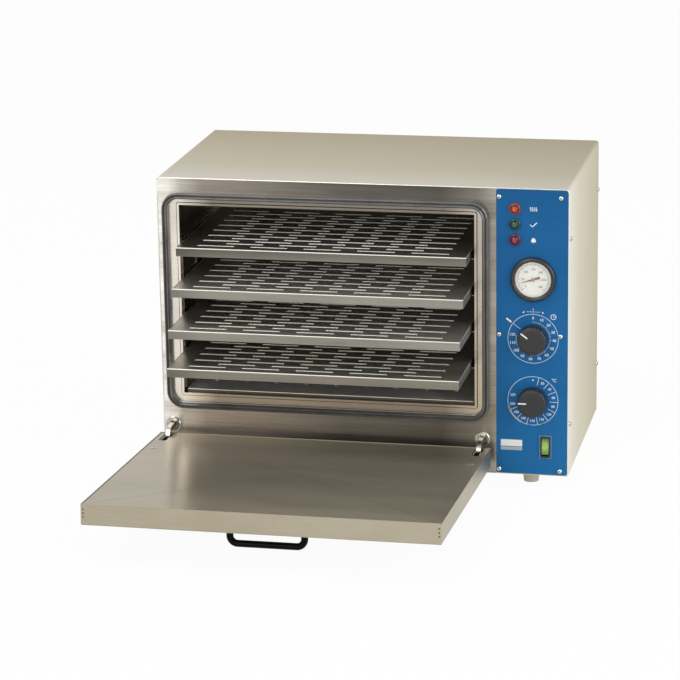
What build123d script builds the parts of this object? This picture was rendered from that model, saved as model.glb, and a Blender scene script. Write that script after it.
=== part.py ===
"""Bench-top dry heat sterilizer with a drop-down door and four slotted trays.

Millimetres, +Z up, front towards -Y. The origin is on the table, midway between the
casing's sides and midway between the open door's front edge and the back of the casing.
The door is modelled open on its stop, and the trays are drawn out.
"""
from build123d import *
from math import cos, radians, sin
import os

os.makedirs("parts", exist_ok=True)

# ---------------------------------------------------------------- driving dimensions
# Casing
sheet = 1.2                  # casing sheet
bend = 4                     # outer bend radius of the cover
flange = 20                  # folded edges behind the front sheets
base_flange = 15             # upturned edges of the base pan
seam = 0.2                   # play between sheets that lap
fit_gap = 0.3                # play between pieces that seat

# Feet
foot_height = 18
foot_diameter = 20
foot_top_diameter = 24
foot_inset_x = 54
foot_inset_y = 32

# Chamber, measured inside its sheet, and its mineral wool
chamber_width = 403
chamber_height = 264
chamber_depth = 266
liner_sheet = 1
lip_width = 4
lip_height = 2.5
flange_sheet = 1
insulation = 24
heater_diameter = 6.5
heater_play = 1
heater_margin = 26           # heater's bend from the chamber's front and rear
heater_side_margin = 80      # heater's runs from the chamber's sides
heater_radius = 40

# Free space between the mineral wool and the casing's outside
side_space = 7
panel_space = 5.3            # to the control panel
roof_space = 13
rear_space = 24
base_space = 60.5

# Gasket round the chamber's mouth
gasket_margin = 17.2         # from the mouth to the gasket's middle line, at the sides
gasket_margin_z = 15.2       # the same, above and below
gasket_shift = 1.9           # gasket left of the mouth's middle
gasket_drop = 1.8            # gasket below the mouth's middle
gasket_width = 9
gasket_radius = 24
gasket_squeeze = 0.5         # play left between the gasket and the shut door

# Door
door_side_gap = 5.3          # to the control panel
door_top_gap = 3             # shut door's upper edge below the casing's top
door_thickness = 27.7
door_sheet = 1
door_gap = 12                # from the front sheet to the shut door
door_bottom = 10             # from the casing's bottom to the shut door's lower edge
door_open_angle = 86.26
inner_sheet_gap = 0.5
inner_sheet_drop = 0.6
inner_sheet_flange = 12
crease_rise = 2

# Hinges
pin_depth = 18.7             # hinge line below the door's inner face
pin_setback = 12.7           # hinge line from the door's lower edge
pin_diameter = 5
pin_play = 0.05              # radial
hinge_inset = 14             # arm's middle from the door's edge
arm_height = 48              # arm above the casing's bottom
arm_width = 6
arm_depth = 7
arm_bend = 10
eye_diameter = 11
root_plate = 20
root_plate_sheet = 3
collar_diameter = 21
collar_height = 3
collar_bore = 11
slot_width = 12
slot_start = 7               # from the door's lower edge
slot_length = 39
bracket_sheet = 2
bracket_play = 0.5
bracket_length = 92
bracket_height = 20
rivet_distance = 90          # rivets from the door's lower edge
rivet_pitch = 5
rivet_diameter = 3.2
rivet_head = 0.4
rivet_rim = 0.6

# Door handle
handle_pitch = 96
handle_diameter = 9
handle_standoff = 25
handle_bend = 10
handle_setback = 44          # from the door's free edge
handle_screw = 4
handle_screw_length = 12

# Trays
tray_side_gap = 4.5          # to the chamber's side walls
tray_rear_gap = 23           # behind a tray that is pushed home
tray_home = 3                # front rim of a tray pushed home, behind the front sheet
tray_sheet = 0.8
tray_rim = 11.6
tray_headroom = 50           # from the top tray to the chamber's roof
tray_legroom = 63.1          # from the chamber's floor to the lowest tray
tray_drawn_out = (40.7, 66.8, 93.1, 102.5)
tray_slot_length = 50
tray_slot_width = 3.5
tray_slot_pitch = 73
tray_row_pitch = 14.5
tray_margin = 18             # unslotted edge
tray_play = 0.3

# Racks and floor plate
rack_sheet = 1
rack_ledge = 11
rack_margin = 6
rack_window = 26
floor_sheet = 1
floor_flange = 3
floor_play = 2
floor_hole = 5
floor_hole_pitch = 42

# Control panel
panel_width = 95.5
panel_edge = 1.5             # panel's upper and lower edges inside the casing
panel_sheet = 1.5
panel_radius = 3
panel_gap = 0.4
instrument_offset = 1.6      # instruments right of the panel's middle
panel_screw_bottom = 7.3     # lowest screws above the casing's bottom
panel_screw_top = 11.7       # top screws below the casing's top
panel_screw_left = 3.6       # from the panel's left edge
panel_screw_right = 9.7      # from its right edge
panel_screw_head = 6.3
panel_screw_shank = 3
cover_screw_head = 7.5
cover_screw_shank = 4
cover_screw_inset = 13
cover_screw_bottom = 70
cover_screw_top = 69
screw_head_height = 2.2
screw_length = 7
cover_screw_length = 5

# Pilot lamps
lamp_drop = 27.4             # top lamp below the casing's top
lamp_pitch = 21
lamp_offset = 24.6           # left of the instruments' line
lamp_diameter = 16
lens_diameter = 11
lamp_proud = 3
lens_proud = 6
lamp_barrel = 12
lamp_length = 22

# Thermometer
gauge_drop = 122.4           # below the casing's top
gauge_bezel = 60.8
gauge_dial = 48
gauge_case = 52
gauge_case_length = 32
gauge_proud = 6
gauge_wall = 1
dial_sheet = 0.8
dial_depth = 1
glass_sheet = 1.5
needle_length = 18.8
needle_tail = 9.3
needle_root = 2
needle_end = 3
needle_sheet = 0.6
needle_angle = 197.7         # counted from +X, counter-clockwise seen from the front
needle_pin = 2
sensor_tube = 2
sensor_bulb = 5
sensor_bulb_length = 18      # in front of the chamber's rear wall
sensor_bend = 10
sensor_drop = 24             # bulbs below the chamber's roof
sensor_inset = 34            # bulbs from the chamber's right wall
sensor_spacing = 20

# Timer and thermostat
timer_drop = 204.1           # below the casing's top
thermostat_drop = 290.4
knob_diameter = 39.5
knob_height = 15
knob_lift = 1                # gap between panel and knob
knob_flutes = 12
knob_flute = 2.5
knob_flute_depth = 0.7
knob_edge = 1.5
pointer_length = 8
pointer_width = 1.7
pointer_depth = 0.4
pointer_inset = 3.5          # from the knob's edge
timer_pointer = 153          # counted from +X, counter-clockwise seen from the front
thermostat_pointer = 180
shaft_diameter = 6
shaft_play = 0.05
bush_diameter = 10
bush_length = 6
timer_size = 46
timer_length = 38
thermostat_size = 38
thermostat_length = 30

# Rocker switch
rocker_level = 40.4          # above the casing's bottom
rocker_offset = 17           # right of the instruments' line
rocker_frame_width = 14
rocker_frame_height = 30
rocker_frame_proud = 1.8
rocker_width = 9.2
rocker_height = 24
rocker_body_length = 22
rocker_tilt = 9
rocker_crown = 0.8           # middle ridge over the rocker's ends
rocker_pin = 2
rocker_pivot = 5             # pivot line behind the panel's face
rocker_play = 0.4

# Rear side
vent_length = 34
vent_width = 4
vent_pitch = 11
vent_count = 9
inlet_width = 28
inlet_height = 22
inlet_level = 50
inlet_flange_height = 31
inlet_flange_width = 50
inlet_flange_sheet = 2.5
inlet_length = 24
socket_width = 24.4
socket_height = 16.6
socket_depth = 16
inlet_pin_pitch = 7
inlet_pin_length = 10
inlet_screw_pitch = 40
terminal_length = 54
terminal_width = 20
terminal_height = 18

# ---------------------------------------------------------------- derived sizes
heater_space = heater_diameter + 2 * heater_play
chamber_left = insulation + side_space            # from the casing's left side
chamber_floor = base_space + insulation + heater_space + liner_sheet
casing_width = chamber_left + chamber_width + insulation + panel_space + panel_width + sheet
casing_height = chamber_floor + chamber_height + insulation + roof_space
casing_depth = chamber_depth + insulation + rear_space
door_width = casing_width - sheet - panel_width - door_side_gap
door_length = casing_height - door_bottom - door_top_gap
tray_width = chamber_width - 2 * tray_side_gap
tray_depth = chamber_depth - tray_home - tray_rear_gap
tray_pitch = (chamber_height - tray_headroom - tray_legroom) / (len(tray_drawn_out) - 1)
panel_height = casing_height - 2 * panel_edge
lamp_level = casing_height - lamp_drop
gauge_level = casing_height - gauge_drop
timer_level = casing_height - timer_drop
thermostat_level = casing_height - thermostat_drop
panel_screw_levels = (
    panel_screw_bottom,
    (panel_screw_bottom + casing_height - panel_screw_top) / 2,
    casing_height - panel_screw_top,
)
cover_screw_levels = (cover_screw_bottom, casing_height - cover_screw_top)

# ---------------------------------------------------------------- derived places
casing_bottom = foot_height
casing_top = foot_height + casing_height
casing_left = -casing_width / 2
casing_right = casing_width / 2

tilt = 90 - door_open_angle
hinge_drop = door_gap + pin_depth                # hinge line in front of the front sheet
free_edge = door_length - pin_setback            # hinge line to the free edge
outer_depth = door_thickness - pin_depth         # hinge line to the outer face
front_reach = hinge_drop + free_edge * cos(radians(tilt)) + outer_depth * sin(radians(tilt))
rear_reach = casing_depth + inlet_flange_sheet
front_y = (front_reach - rear_reach) / 2
rear_y = front_y + casing_depth

hinge_y = front_y - hinge_drop
hinge_z = casing_bottom + door_bottom + pin_setback
door_x = casing_left + door_width / 2
hinge_x = door_width / 2 - hinge_inset           # either side of the door's middle

chamber_x = casing_left + chamber_left + chamber_width / 2
chamber_z = casing_bottom + chamber_floor + chamber_height / 2
chamber_bottom = casing_bottom + chamber_floor
chamber_rear = front_y + chamber_depth

panel_right = casing_right - sheet
panel_x = panel_right - panel_width / 2
panel_left = panel_right - panel_width
instrument_x = panel_x + instrument_offset

front = Plane(origin=(0, front_y, 0), x_dir=(1, 0, 0), z_dir=(0, -1, 0))
rear = Plane(origin=(0, rear_y, 0), x_dir=(-1, 0, 0), z_dir=(0, 1, 0))
panel_face = front.offset(panel_sheet)
door_plane = Plane(
    origin=(door_x, hinge_y, hinge_z),
    x_dir=(1, 0, 0),
    z_dir=(0, sin(radians(tilt)), cos(radians(tilt))),
)
bottom_center = (Align.CENTER, Align.MIN)


def write(piece, label):
    """Names a finished piece and writes it as one STEP file."""
    piece.part.label = label
    export_step(piece.part, f"parts/{label}.step")


def dial_plane(level, height, angle):
    """A plane over a dial's middle, its X along an angle counted from +X."""
    return Plane(
        origin=(instrument_x, front_y - panel_sheet - height, casing_bottom + level),
        x_dir=(cos(radians(angle)), 0, sin(radians(angle))),
        z_dir=(0, -1, 0),
    )


def on_front(level, x=instrument_x):
    """A point of the front, from a height above the casing's bottom."""
    return (x, casing_bottom + level)


# ---------------------------------------------------------------- casing
screw_xs = (panel_left + panel_screw_left, panel_right - panel_screw_right)
cover_screw_ys = (front_y + cover_screw_inset, rear_y - cover_screw_inset / 2)
cover_screw_zs = [casing_bottom + level for level in cover_screw_levels]

with BuildPart() as outer_cover:
    with BuildSketch(front):
        with Locations((0, casing_bottom)):
            Rectangle(casing_width, casing_height, align=bottom_center)
            Rectangle(
                casing_width - 2 * sheet,
                casing_height - sheet,
                align=bottom_center,
                mode=Mode.SUBTRACT,
            )
    extrude(amount=-casing_depth)
    fillet(edges().filter_by(Axis.Y).group_by(Axis.Z)[-2], bend - sheet)
    fillet(edges().filter_by(Axis.Y).group_by(Axis.Z)[-1], bend)
    for y in cover_screw_ys:
        for z in cover_screw_zs:
            with Locations((0, y, z)):
                Cylinder(
                    cover_screw_shank / 2 + seam,
                    casing_width + sheet,
                    rotation=(0, 90, 0),
                    mode=Mode.SUBTRACT,
                )
write(outer_cover, "outer_cover")

with BuildPart() as cover_screws:
    for side in (-1, 1):
        for y in cover_screw_ys:
            for z in cover_screw_zs:
                seat = Plane(origin=(side * casing_width / 2, y, z), z_dir=(side, 0, 0))
                with BuildSketch(seat):
                    Circle(cover_screw_head / 2)
                extrude(amount=screw_head_height)
                with BuildSketch(seat):
                    Circle(cover_screw_shank / 2)
                extrude(amount=-cover_screw_length)
write(cover_screws, "cover_screws")

base_inset = 2 * (sheet + seam)
base_width = casing_width - 2 * base_inset
base_depth = casing_depth - 2 * (sheet + seam)
with BuildPart() as base_pan:
    with BuildSketch(Plane.XY.offset(casing_bottom)):
        with Locations((0, (front_y + rear_y) / 2)):
            Rectangle(base_width, base_depth)
    extrude(amount=base_flange)
    offset(amount=-sheet, openings=faces().sort_by(Axis.Z)[-1])
    with BuildSketch(Plane.XY.offset(casing_bottom)):
        with Locations((instrument_x, (front_y + rear_y) / 2)):
            with GridLocations(0, vent_pitch, 1, vent_count):
                Rectangle(vent_length, vent_width)
    extrude(amount=sheet, mode=Mode.SUBTRACT)
    with BuildSketch(front):
        for x in screw_xs:
            with Locations(on_front(panel_screw_levels[0], x)):
                Circle(panel_screw_shank / 2 + seam)
    extrude(amount=-flange, mode=Mode.SUBTRACT)
write(base_pan, "base_pan")

foot_ys = (front_y + foot_inset_y, rear_y - foot_inset_y)
with BuildPart() as feet:
    for x in (casing_left + foot_inset_x, casing_right - foot_inset_x):
        for y in foot_ys:
            with BuildSketch(Plane((x, y, 0))):
                Circle(foot_diameter / 2)
            with BuildSketch(Plane((x, y, foot_height))):
                Circle(foot_top_diameter / 2)
            loft()
write(feet, "feet")

# ---------------------------------------------------------------- front sheets
plate_bottom = casing_bottom
plate_top = casing_top - sheet - seam
plate_height = plate_top - plate_bottom
plate_left = casing_left + sheet + seam
plate_right = panel_left - panel_gap
plate_width = plate_right - plate_left
flange_bottom = casing_bottom + base_flange + 2 * sheet
flange_height = plate_top - flange_bottom
mouth_clearance = liner_sheet + fit_gap


def flanged_front(left, width, corner):
    """A front sheet with its top and sides folded back, rounded at the cover's corner."""
    with BuildPart() as piece:
        with BuildSketch(front):
            with Locations((left + width / 2, plate_bottom)):
                Rectangle(width, plate_height, align=bottom_center)
        extrude(amount=-sheet)
        with BuildSketch(front):
            with Locations((left + width / 2, flange_bottom)):
                Rectangle(width, flange_height, align=bottom_center)
                Rectangle(
                    width - 2 * sheet,
                    flange_height - sheet,
                    align=bottom_center,
                    mode=Mode.SUBTRACT,
                )
        extrude(amount=-flange)
        fillet(edges().filter_by(Axis.Y).group_by(Axis.Z)[-1].sort_by(Axis.X)[corner], bend - sheet)
    return piece.part


with BuildPart() as front_plate:
    add(flanged_front(plate_left, plate_width, 0))
    with BuildSketch(front):
        with Locations((chamber_x, chamber_z)):
            Rectangle(
                chamber_width + 2 * mouth_clearance,
                chamber_height + 2 * mouth_clearance,
            )
        with Locations((door_x, casing_bottom + arm_height)):
            with GridLocations(2 * hinge_x, 0, 2, 1):
                Circle(collar_bore / 2 + liner_sheet + fit_gap)
    extrude(amount=-sheet, mode=Mode.SUBTRACT)
    for z in cover_screw_zs:
        with Locations((plate_left, front_y + cover_screw_inset, z)):
            Cylinder(
                cover_screw_shank / 2 + seam,
                4 * sheet,
                rotation=(0, 90, 0),
                mode=Mode.SUBTRACT,
            )
write(front_plate, "front_plate")

chassis_left = plate_right + panel_gap
chassis_width = casing_right - sheet - seam - chassis_left
lamp_x = instrument_x - lamp_offset
lamp_levels = [lamp_level - i * lamp_pitch for i in range(3)]
rocker_x = instrument_x + rocker_offset
rocker_body_width = rocker_frame_width - 3
rocker_body_height = rocker_frame_height - 3


def panel_cutouts(play):
    """Sketches every opening that the instruments pass through."""
    for level in lamp_levels:
        with Locations(on_front(level, lamp_x)):
            Circle(lamp_barrel / 2 + play)
    with Locations(on_front(gauge_level)):
        Circle(gauge_case / 2 + play)
    for level in (timer_level, thermostat_level):
        with Locations(on_front(level)):
            Circle(bush_diameter / 2 + play)
    with Locations(on_front(rocker_level, rocker_x)):
        Rectangle(rocker_body_width + 2 * play, rocker_body_height + 2 * play)
    for x in screw_xs:
        for level in panel_screw_levels:
            with Locations(on_front(level, x)):
                Circle(panel_screw_shank / 2 + play)


with BuildPart() as control_chassis:
    add(flanged_front(chassis_left, chassis_width, -1))
    with BuildSketch(front):
        panel_cutouts(seam)
    extrude(amount=-sheet, mode=Mode.SUBTRACT)
    for z in cover_screw_zs:
        with Locations((casing_right, front_y + cover_screw_inset, z)):
            Cylinder(
                cover_screw_shank / 2 + seam,
                6 * sheet,
                rotation=(0, 90, 0),
                mode=Mode.SUBTRACT,
            )
write(control_chassis, "control_chassis")

with BuildPart() as control_panel:
    with BuildSketch(front):
        with Locations((panel_x, casing_bottom + panel_edge)):
            Rectangle(panel_width, panel_height, align=bottom_center)
        fillet(vertices(), panel_radius)
    extrude(amount=panel_sheet)
    with BuildSketch(front):
        panel_cutouts(seam)
    extrude(amount=panel_sheet, mode=Mode.SUBTRACT)
write(control_panel, "control_panel")

with BuildPart() as panel_screws:
    for x in screw_xs:
        for level in panel_screw_levels:
            with BuildSketch(panel_face):
                with Locations(on_front(level, x)):
                    Circle(panel_screw_head / 2)
            extrude(amount=screw_head_height)
            with BuildSketch(panel_face):
                with Locations(on_front(level, x)):
                    Circle(panel_screw_shank / 2)
            extrude(amount=-screw_length)
write(panel_screws, "panel_screws")

# ---------------------------------------------------------------- rear panel and inside
rear_width = casing_width - 2 * (sheet + seam)
inlet_x = instrument_x
inlet_z = casing_bottom + inlet_level
with BuildPart() as rear_panel:
    with BuildSketch(rear):
        with Locations((0, plate_bottom)):
            Rectangle(rear_width, plate_height, align=bottom_center)
    extrude(amount=-sheet)
    with BuildSketch(rear):
        with Locations((0, flange_bottom)):
            Rectangle(rear_width, flange_height, align=bottom_center)
            Rectangle(
                rear_width - 2 * sheet,
                flange_height - sheet,
                align=bottom_center,
                mode=Mode.SUBTRACT,
            )
    extrude(amount=-cover_screw_inset)
    fillet(edges().filter_by(Axis.Y).group_by(Axis.Z)[-1].sort_by(Axis.X)[0], bend - sheet)
    fillet(edges().filter_by(Axis.Y).group_by(Axis.Z)[-1].sort_by(Axis.X)[-1], bend - sheet)
    with BuildSketch(rear):
        with Locations((-instrument_x, casing_bottom + casing_height / 2)):
            with GridLocations(0, vent_pitch, 1, vent_count):
                Rectangle(vent_length, vent_width)
        with Locations((-inlet_x, inlet_z)):
            Rectangle(inlet_width + 2 * seam, inlet_height + 2 * seam)
            with GridLocations(inlet_screw_pitch, 0, 2, 1):
                Circle(panel_screw_shank / 2 + seam)
    extrude(amount=-sheet, mode=Mode.SUBTRACT)
    for z in cover_screw_zs:
        with Locations((0, cover_screw_ys[1], z)):
            Cylinder(
                cover_screw_shank / 2 + seam,
                casing_width,
                rotation=(0, 90, 0),
                mode=Mode.SUBTRACT,
            )
write(rear_panel, "rear_panel")

insulation_rear = chamber_rear + liner_sheet + seam + insulation
with BuildPart() as partition:
    with BuildSketch(Plane.XY.offset(casing_bottom + sheet)):
        with Locations((chassis_left + sheet + seam, front_y + flange / 2)):
            Rectangle(sheet, insulation_rear - front_y - flange / 2, align=(Align.MIN, Align.MIN))
    extrude(amount=casing_height - 3 * sheet - seam)
write(partition, "partition")

# ---------------------------------------------------------------- chamber
flange_play = 0.5
gasket_inner_width = chamber_width + 2 * gasket_margin - gasket_width
gasket_inner_height = chamber_height + 2 * gasket_margin_z - gasket_width
gasket_x = chamber_x - gasket_shift
gasket_z = chamber_z - gasket_drop
gasket_inner_radius = gasket_radius - gasket_width
sensor_z = chamber_z + chamber_height / 2 - sensor_drop
sensor_right = chamber_x + chamber_width / 2 - sensor_inset
sensor_xs = (sensor_right, sensor_right - sensor_spacing)
sensor_hole = sensor_bulb / 2 + fit_gap

with BuildPart() as chamber_liner:
    with BuildSketch(front):
        with Locations((chamber_x, chamber_z)):
            Rectangle(chamber_width + 2 * liner_sheet, chamber_height + 2 * liner_sheet)
    extrude(amount=-chamber_depth - liner_sheet)
    with BuildSketch(front):
        with Locations((gasket_x, gasket_z)):
            RectangleRounded(
                gasket_inner_width - 2 * flange_play,
                gasket_inner_height - 2 * flange_play,
                gasket_inner_radius - flange_play,
            )
    extrude(amount=flange_sheet)
    with BuildSketch(front):
        with Locations((chamber_x, chamber_z)):
            RectangleRounded(
                chamber_width + 2 * lip_width,
                chamber_height + 2 * lip_width,
                lip_width,
            )
    extrude(amount=lip_height)
    chamfer(faces().sort_by(Axis.Y)[0].edges(), liner_sheet)
    with BuildSketch(front.offset(lip_height)):
        with Locations((chamber_x, chamber_z)):
            Rectangle(chamber_width, chamber_height)
    extrude(amount=-chamber_depth - lip_height, mode=Mode.SUBTRACT)
    for x in sensor_xs:
        with Locations((x, chamber_rear, sensor_z)):
            Cylinder(sensor_hole, 4 * liner_sheet, rotation=(90, 0, 0), mode=Mode.SUBTRACT)
write(chamber_liner, "chamber_liner")

wool_width = chamber_width + 2 * (liner_sheet + seam)
wool_bottom = chamber_bottom - liner_sheet - heater_space
wool_top = chamber_z + chamber_height / 2 + liner_sheet + seam
wool_height = wool_top - wool_bottom
with BuildPart() as chamber_insulation:
    with BuildSketch(front.offset(-sheet - fit_gap)):
        with Locations((chamber_x, wool_bottom - insulation)):
            Rectangle(
                wool_width + 2 * insulation,
                wool_height + 2 * insulation,
                align=bottom_center,
            )
    extrude(amount=-(insulation_rear - front_y - sheet - fit_gap))
    with BuildSketch(front):
        with Locations((chamber_x, wool_bottom)):
            Rectangle(wool_width, wool_height, align=bottom_center)
    extrude(amount=-chamber_depth - liner_sheet - seam, mode=Mode.SUBTRACT)
    for x in sensor_xs:
        with Locations((x, insulation_rear, sensor_z)):
            Cylinder(sensor_hole, 3 * insulation, rotation=(90, 0, 0), mode=Mode.SUBTRACT)
write(chamber_insulation, "chamber_insulation")

heater_z = chamber_bottom - liner_sheet - heater_play / 2 - heater_diameter / 2
heater_left = chamber_x - chamber_width / 2 + heater_side_margin
heater_right = chamber_x + chamber_width / 2 - heater_side_margin
heater_front = front_y + heater_margin
heater_rear = chamber_rear - heater_margin
heater_points = (
    (heater_left, heater_rear, heater_z),
    (heater_left, heater_front, heater_z),
    (heater_right, heater_front, heater_z),
    (heater_right, heater_rear, heater_z),
)
with BuildPart() as heating_element:
    with BuildLine():
        FilletPolyline(*heater_points, radius=heater_radius)
    with BuildSketch(Plane(origin=heater_points[0], z_dir=(0, -1, 0))):
        Circle(heater_diameter / 2)
    sweep()
write(heating_element, "heating_element")

with BuildPart() as door_gasket:
    with BuildSketch(front):
        with Locations((gasket_x, gasket_z)):
            RectangleRounded(
                gasket_inner_width + 2 * gasket_width,
                gasket_inner_height + 2 * gasket_width,
                gasket_radius,
            )
            RectangleRounded(
                gasket_inner_width,
                gasket_inner_height,
                gasket_inner_radius,
                mode=Mode.SUBTRACT,
            )
    extrude(amount=door_gap - gasket_squeeze)
    chamfer(faces().sort_by(Axis.Y)[0].edges(), gasket_width / 4)
write(door_gasket, "door_gasket")

tray_levels = [
    chamber_z + chamber_height / 2 - tray_headroom - i * tray_pitch
    for i in range(len(tray_drawn_out))
]
ledge_levels = [level - tray_rim - tray_play for level in tray_levels]
rack_bottom = chamber_bottom + floor_flange + floor_sheet + rack_sheet
rack_top = tray_levels[0]
rack_depth = chamber_depth - 2 * rack_margin
for side, label in ((-1, "tray_rack_left"), (1, "tray_rack_right")):
    wall = chamber_x + side * (chamber_width / 2 - fit_gap)
    outward = Align.MIN if side < 0 else Align.MAX
    with BuildPart() as tray_rack:
        with BuildSketch(front.offset(-rack_margin)):
            with Locations((wall, rack_bottom)):
                Rectangle(rack_sheet, rack_top - rack_bottom, align=(outward, Align.MIN))
            for level in ledge_levels:
                with Locations((wall, level)):
                    Rectangle(rack_ledge, rack_sheet, align=(outward, Align.MAX))
        extrude(amount=-rack_depth)
        for level in ledge_levels:
            with Locations((wall, front_y + chamber_depth / 2, level - tray_pitch / 2)):
                with GridLocations(0, rack_depth / 3, 1, 3):
                    Box(4 * rack_sheet, rack_depth / 4, rack_window, mode=Mode.SUBTRACT)
    write(tray_rack, label)

floor_width = chamber_width - 2 * floor_play
floor_depth = chamber_depth - 2 * rack_margin
floor_columns = int((floor_width - floor_hole_pitch / 2) // floor_hole_pitch)
floor_rows = int((floor_depth - floor_hole_pitch / 2) // floor_hole_pitch)
with BuildPart() as floor_plate:
    with BuildSketch(Plane.XY.offset(chamber_bottom)):
        with Locations((chamber_x, front_y + chamber_depth / 2)):
            Rectangle(floor_width, floor_depth)
    extrude(amount=floor_flange + floor_sheet)
    offset(amount=-floor_sheet, openings=faces().sort_by(Axis.Z)[0])
    with BuildSketch(Plane.XY.offset(chamber_bottom + floor_flange)):
        with Locations((chamber_x, front_y + chamber_depth / 2)):
            with GridLocations(floor_hole_pitch, floor_hole_pitch, floor_columns, floor_rows):
                Rectangle(floor_hole, floor_hole)
    extrude(amount=floor_sheet, mode=Mode.SUBTRACT)
write(floor_plate, "floor_plate")

# ---------------------------------------------------------------- trays
slot_columns = int((tray_width - 2 * tray_margin - tray_slot_length) // tray_slot_pitch) + 1
slot_row_pairs = int((tray_depth / 2 - tray_margin) // tray_row_pitch)
slot_spacing = (tray_slot_pitch, 2 * tray_row_pitch)
for number, (level, drawn_out) in enumerate(zip(tray_levels, tray_drawn_out), start=1):
    tray_y = front_y - drawn_out + tray_depth / 2
    with BuildPart() as tray:
        with BuildSketch(Plane.XY.offset(level - tray_rim)):
            with Locations((chamber_x, tray_y)):
                Rectangle(tray_width, tray_depth)
        extrude(amount=tray_rim)
        offset(amount=-tray_sheet, openings=faces().sort_by(Axis.Z)[0])
        with BuildSketch(Plane.XY.offset(level - tray_sheet)):
            with Locations((chamber_x, tray_y)):
                with GridLocations(*slot_spacing, slot_columns, slot_row_pairs + 1):
                    Rectangle(tray_slot_length, tray_slot_width)
                with GridLocations(*slot_spacing, slot_columns - 1, slot_row_pairs):
                    Rectangle(tray_slot_length, tray_slot_width)
        extrude(amount=tray_sheet, mode=Mode.SUBTRACT)
    write(tray, f"tray_{number}")

# ---------------------------------------------------------------- hinges
arm_z = casing_bottom + arm_height
pin_radius = pin_diameter / 2
root_y = front_y + sheet + fit_gap
hinge_xs = (door_x - hinge_x, door_x + hinge_x)


def side_plane(x):
    """A plane square to the hinge line, drawn with Y across and Z up."""
    return Plane(origin=(x, 0, 0), x_dir=(0, 1, 0), z_dir=(1, 0, 0))


with BuildPart() as hinge_collars:
    with BuildSketch(front):
        with Locations((door_x, arm_z)):
            with GridLocations(2 * hinge_x, 0, 2, 1):
                Circle(collar_diameter / 2)
    extrude(amount=collar_height)
    chamfer(faces().sort_by(Axis.Y)[0:2].edges(), 1)
    with BuildSketch(front):
        with Locations((door_x, arm_z)):
            with GridLocations(2 * hinge_x, 0, 2, 1):
                Circle(collar_bore / 2 + liner_sheet)
    extrude(amount=-sheet)
    with BuildSketch(front.offset(-sheet)):
        with Locations((door_x, arm_z)):
            with GridLocations(2 * hinge_x, 0, 2, 1):
                Circle(collar_bore / 2)
    extrude(amount=sheet + collar_height, mode=Mode.SUBTRACT)
write(hinge_collars, "hinge_collars")

half_arm = arm_depth / 2
with BuildPart() as hinge_arms:
    for x in hinge_xs:
        with BuildSketch(side_plane(x)):
            with BuildLine():
                Polyline(
                    (root_y, arm_z - half_arm),
                    (hinge_y + half_arm, arm_z - half_arm),
                    (hinge_y + half_arm, hinge_z),
                    (hinge_y - half_arm, hinge_z),
                    (hinge_y - half_arm, arm_z + half_arm),
                    (root_y, arm_z + half_arm),
                    close=True,
                )
            make_face()
            inner_corner = vertices().sort_by_distance((hinge_y + half_arm, arm_z - half_arm))[0]
            fillet(inner_corner, arm_bend - half_arm)
            outer_corner = vertices().sort_by_distance((hinge_y - half_arm, arm_z + half_arm))[0]
            fillet(outer_corner, arm_bend + half_arm)
            with Locations((hinge_y, hinge_z)):
                Circle(eye_diameter / 2)
                Circle(pin_radius + pin_play, mode=Mode.SUBTRACT)
        extrude(amount=arm_width / 2, both=True)
        with BuildSketch(front.offset(front_y - root_y)):
            with Locations((x, arm_z - fit_gap)):
                Rectangle(root_plate, root_plate)
        extrude(amount=-root_plate_sheet)
write(hinge_arms, "hinge_arms")

# ---------------------------------------------------------------- door
# Drawn on the hinge line: X across, Y towards the lower edge, Z out of the inner face.
inner_face = pin_depth
lower_edge = pin_setback
door_middle = lower_edge - door_length / 2
pan_floor = inner_face - door_thickness + door_sheet
sheet_inset = door_sheet + inner_sheet_gap
inner_width = door_width - 2 * sheet_inset
inner_length = door_length - 2 * sheet_inset
slot_middle = lower_edge - slot_start - slot_length / 2
handle_y = -free_edge + handle_setback


def door_level(height):
    """A sketch plane parallel to the door, at a height over the hinge line."""
    return door_plane.offset(height)


def door_face(height):
    """The face of the piece being built that is nearest the door's middle at this height."""
    return faces().sort_by_distance(door_plane.from_local_coords(Vector(0, door_middle, height)))[0]


with BuildPart() as door_outer_pan:
    with BuildSketch(door_level(inner_face)):
        with Locations((0, door_middle)):
            Rectangle(door_width, door_length)
    extrude(amount=-door_thickness)
    fillet(door_face(inner_face - door_thickness).edges(), 2 * door_sheet)
    offset(amount=-door_sheet, openings=door_face(inner_face))
    with BuildSketch(door_level(pan_floor)):
        with Locations((0, handle_y)):
            with GridLocations(handle_pitch, 0, 2, 1):
                Circle(handle_screw / 2 + seam)
    extrude(amount=-2 * door_sheet, mode=Mode.SUBTRACT)
write(door_outer_pan, "door_outer_pan")

sheet_face = inner_face - inner_sheet_drop
crease_slope_x = crease_rise / (inner_width / 2)
crease_slope_y = crease_rise / (inner_length / 2)


def creased_block(depth, margin):
    """A block under the cross-broken face: four shallow facets meeting in the middle."""
    half_width = inner_width / 2 - margin
    half_length = inner_length / 2 - margin
    with BuildPart() as block:
        with BuildSketch(door_level(sheet_face - inner_sheet_flange)):
            with Locations((0, door_middle)):
                Rectangle(2 * half_width, 2 * half_length)
        extrude(amount=inner_sheet_flange + crease_rise)
        middle = door_plane.from_local_coords(Vector(0, door_middle, sheet_face + crease_rise - depth))
        normal = door_plane.z_dir
        across = door_plane.x_dir
        along = door_plane.y_dir
        for direction, slope in (
            (across, crease_slope_x),
            (-across, crease_slope_x),
            (along, crease_slope_y),
            (-along, crease_slope_y),
        ):
            facet = Plane(origin=middle, z_dir=normal + direction * slope)
            split(bisect_by=facet, keep=Keep.BOTTOM)
    return block.part


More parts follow.
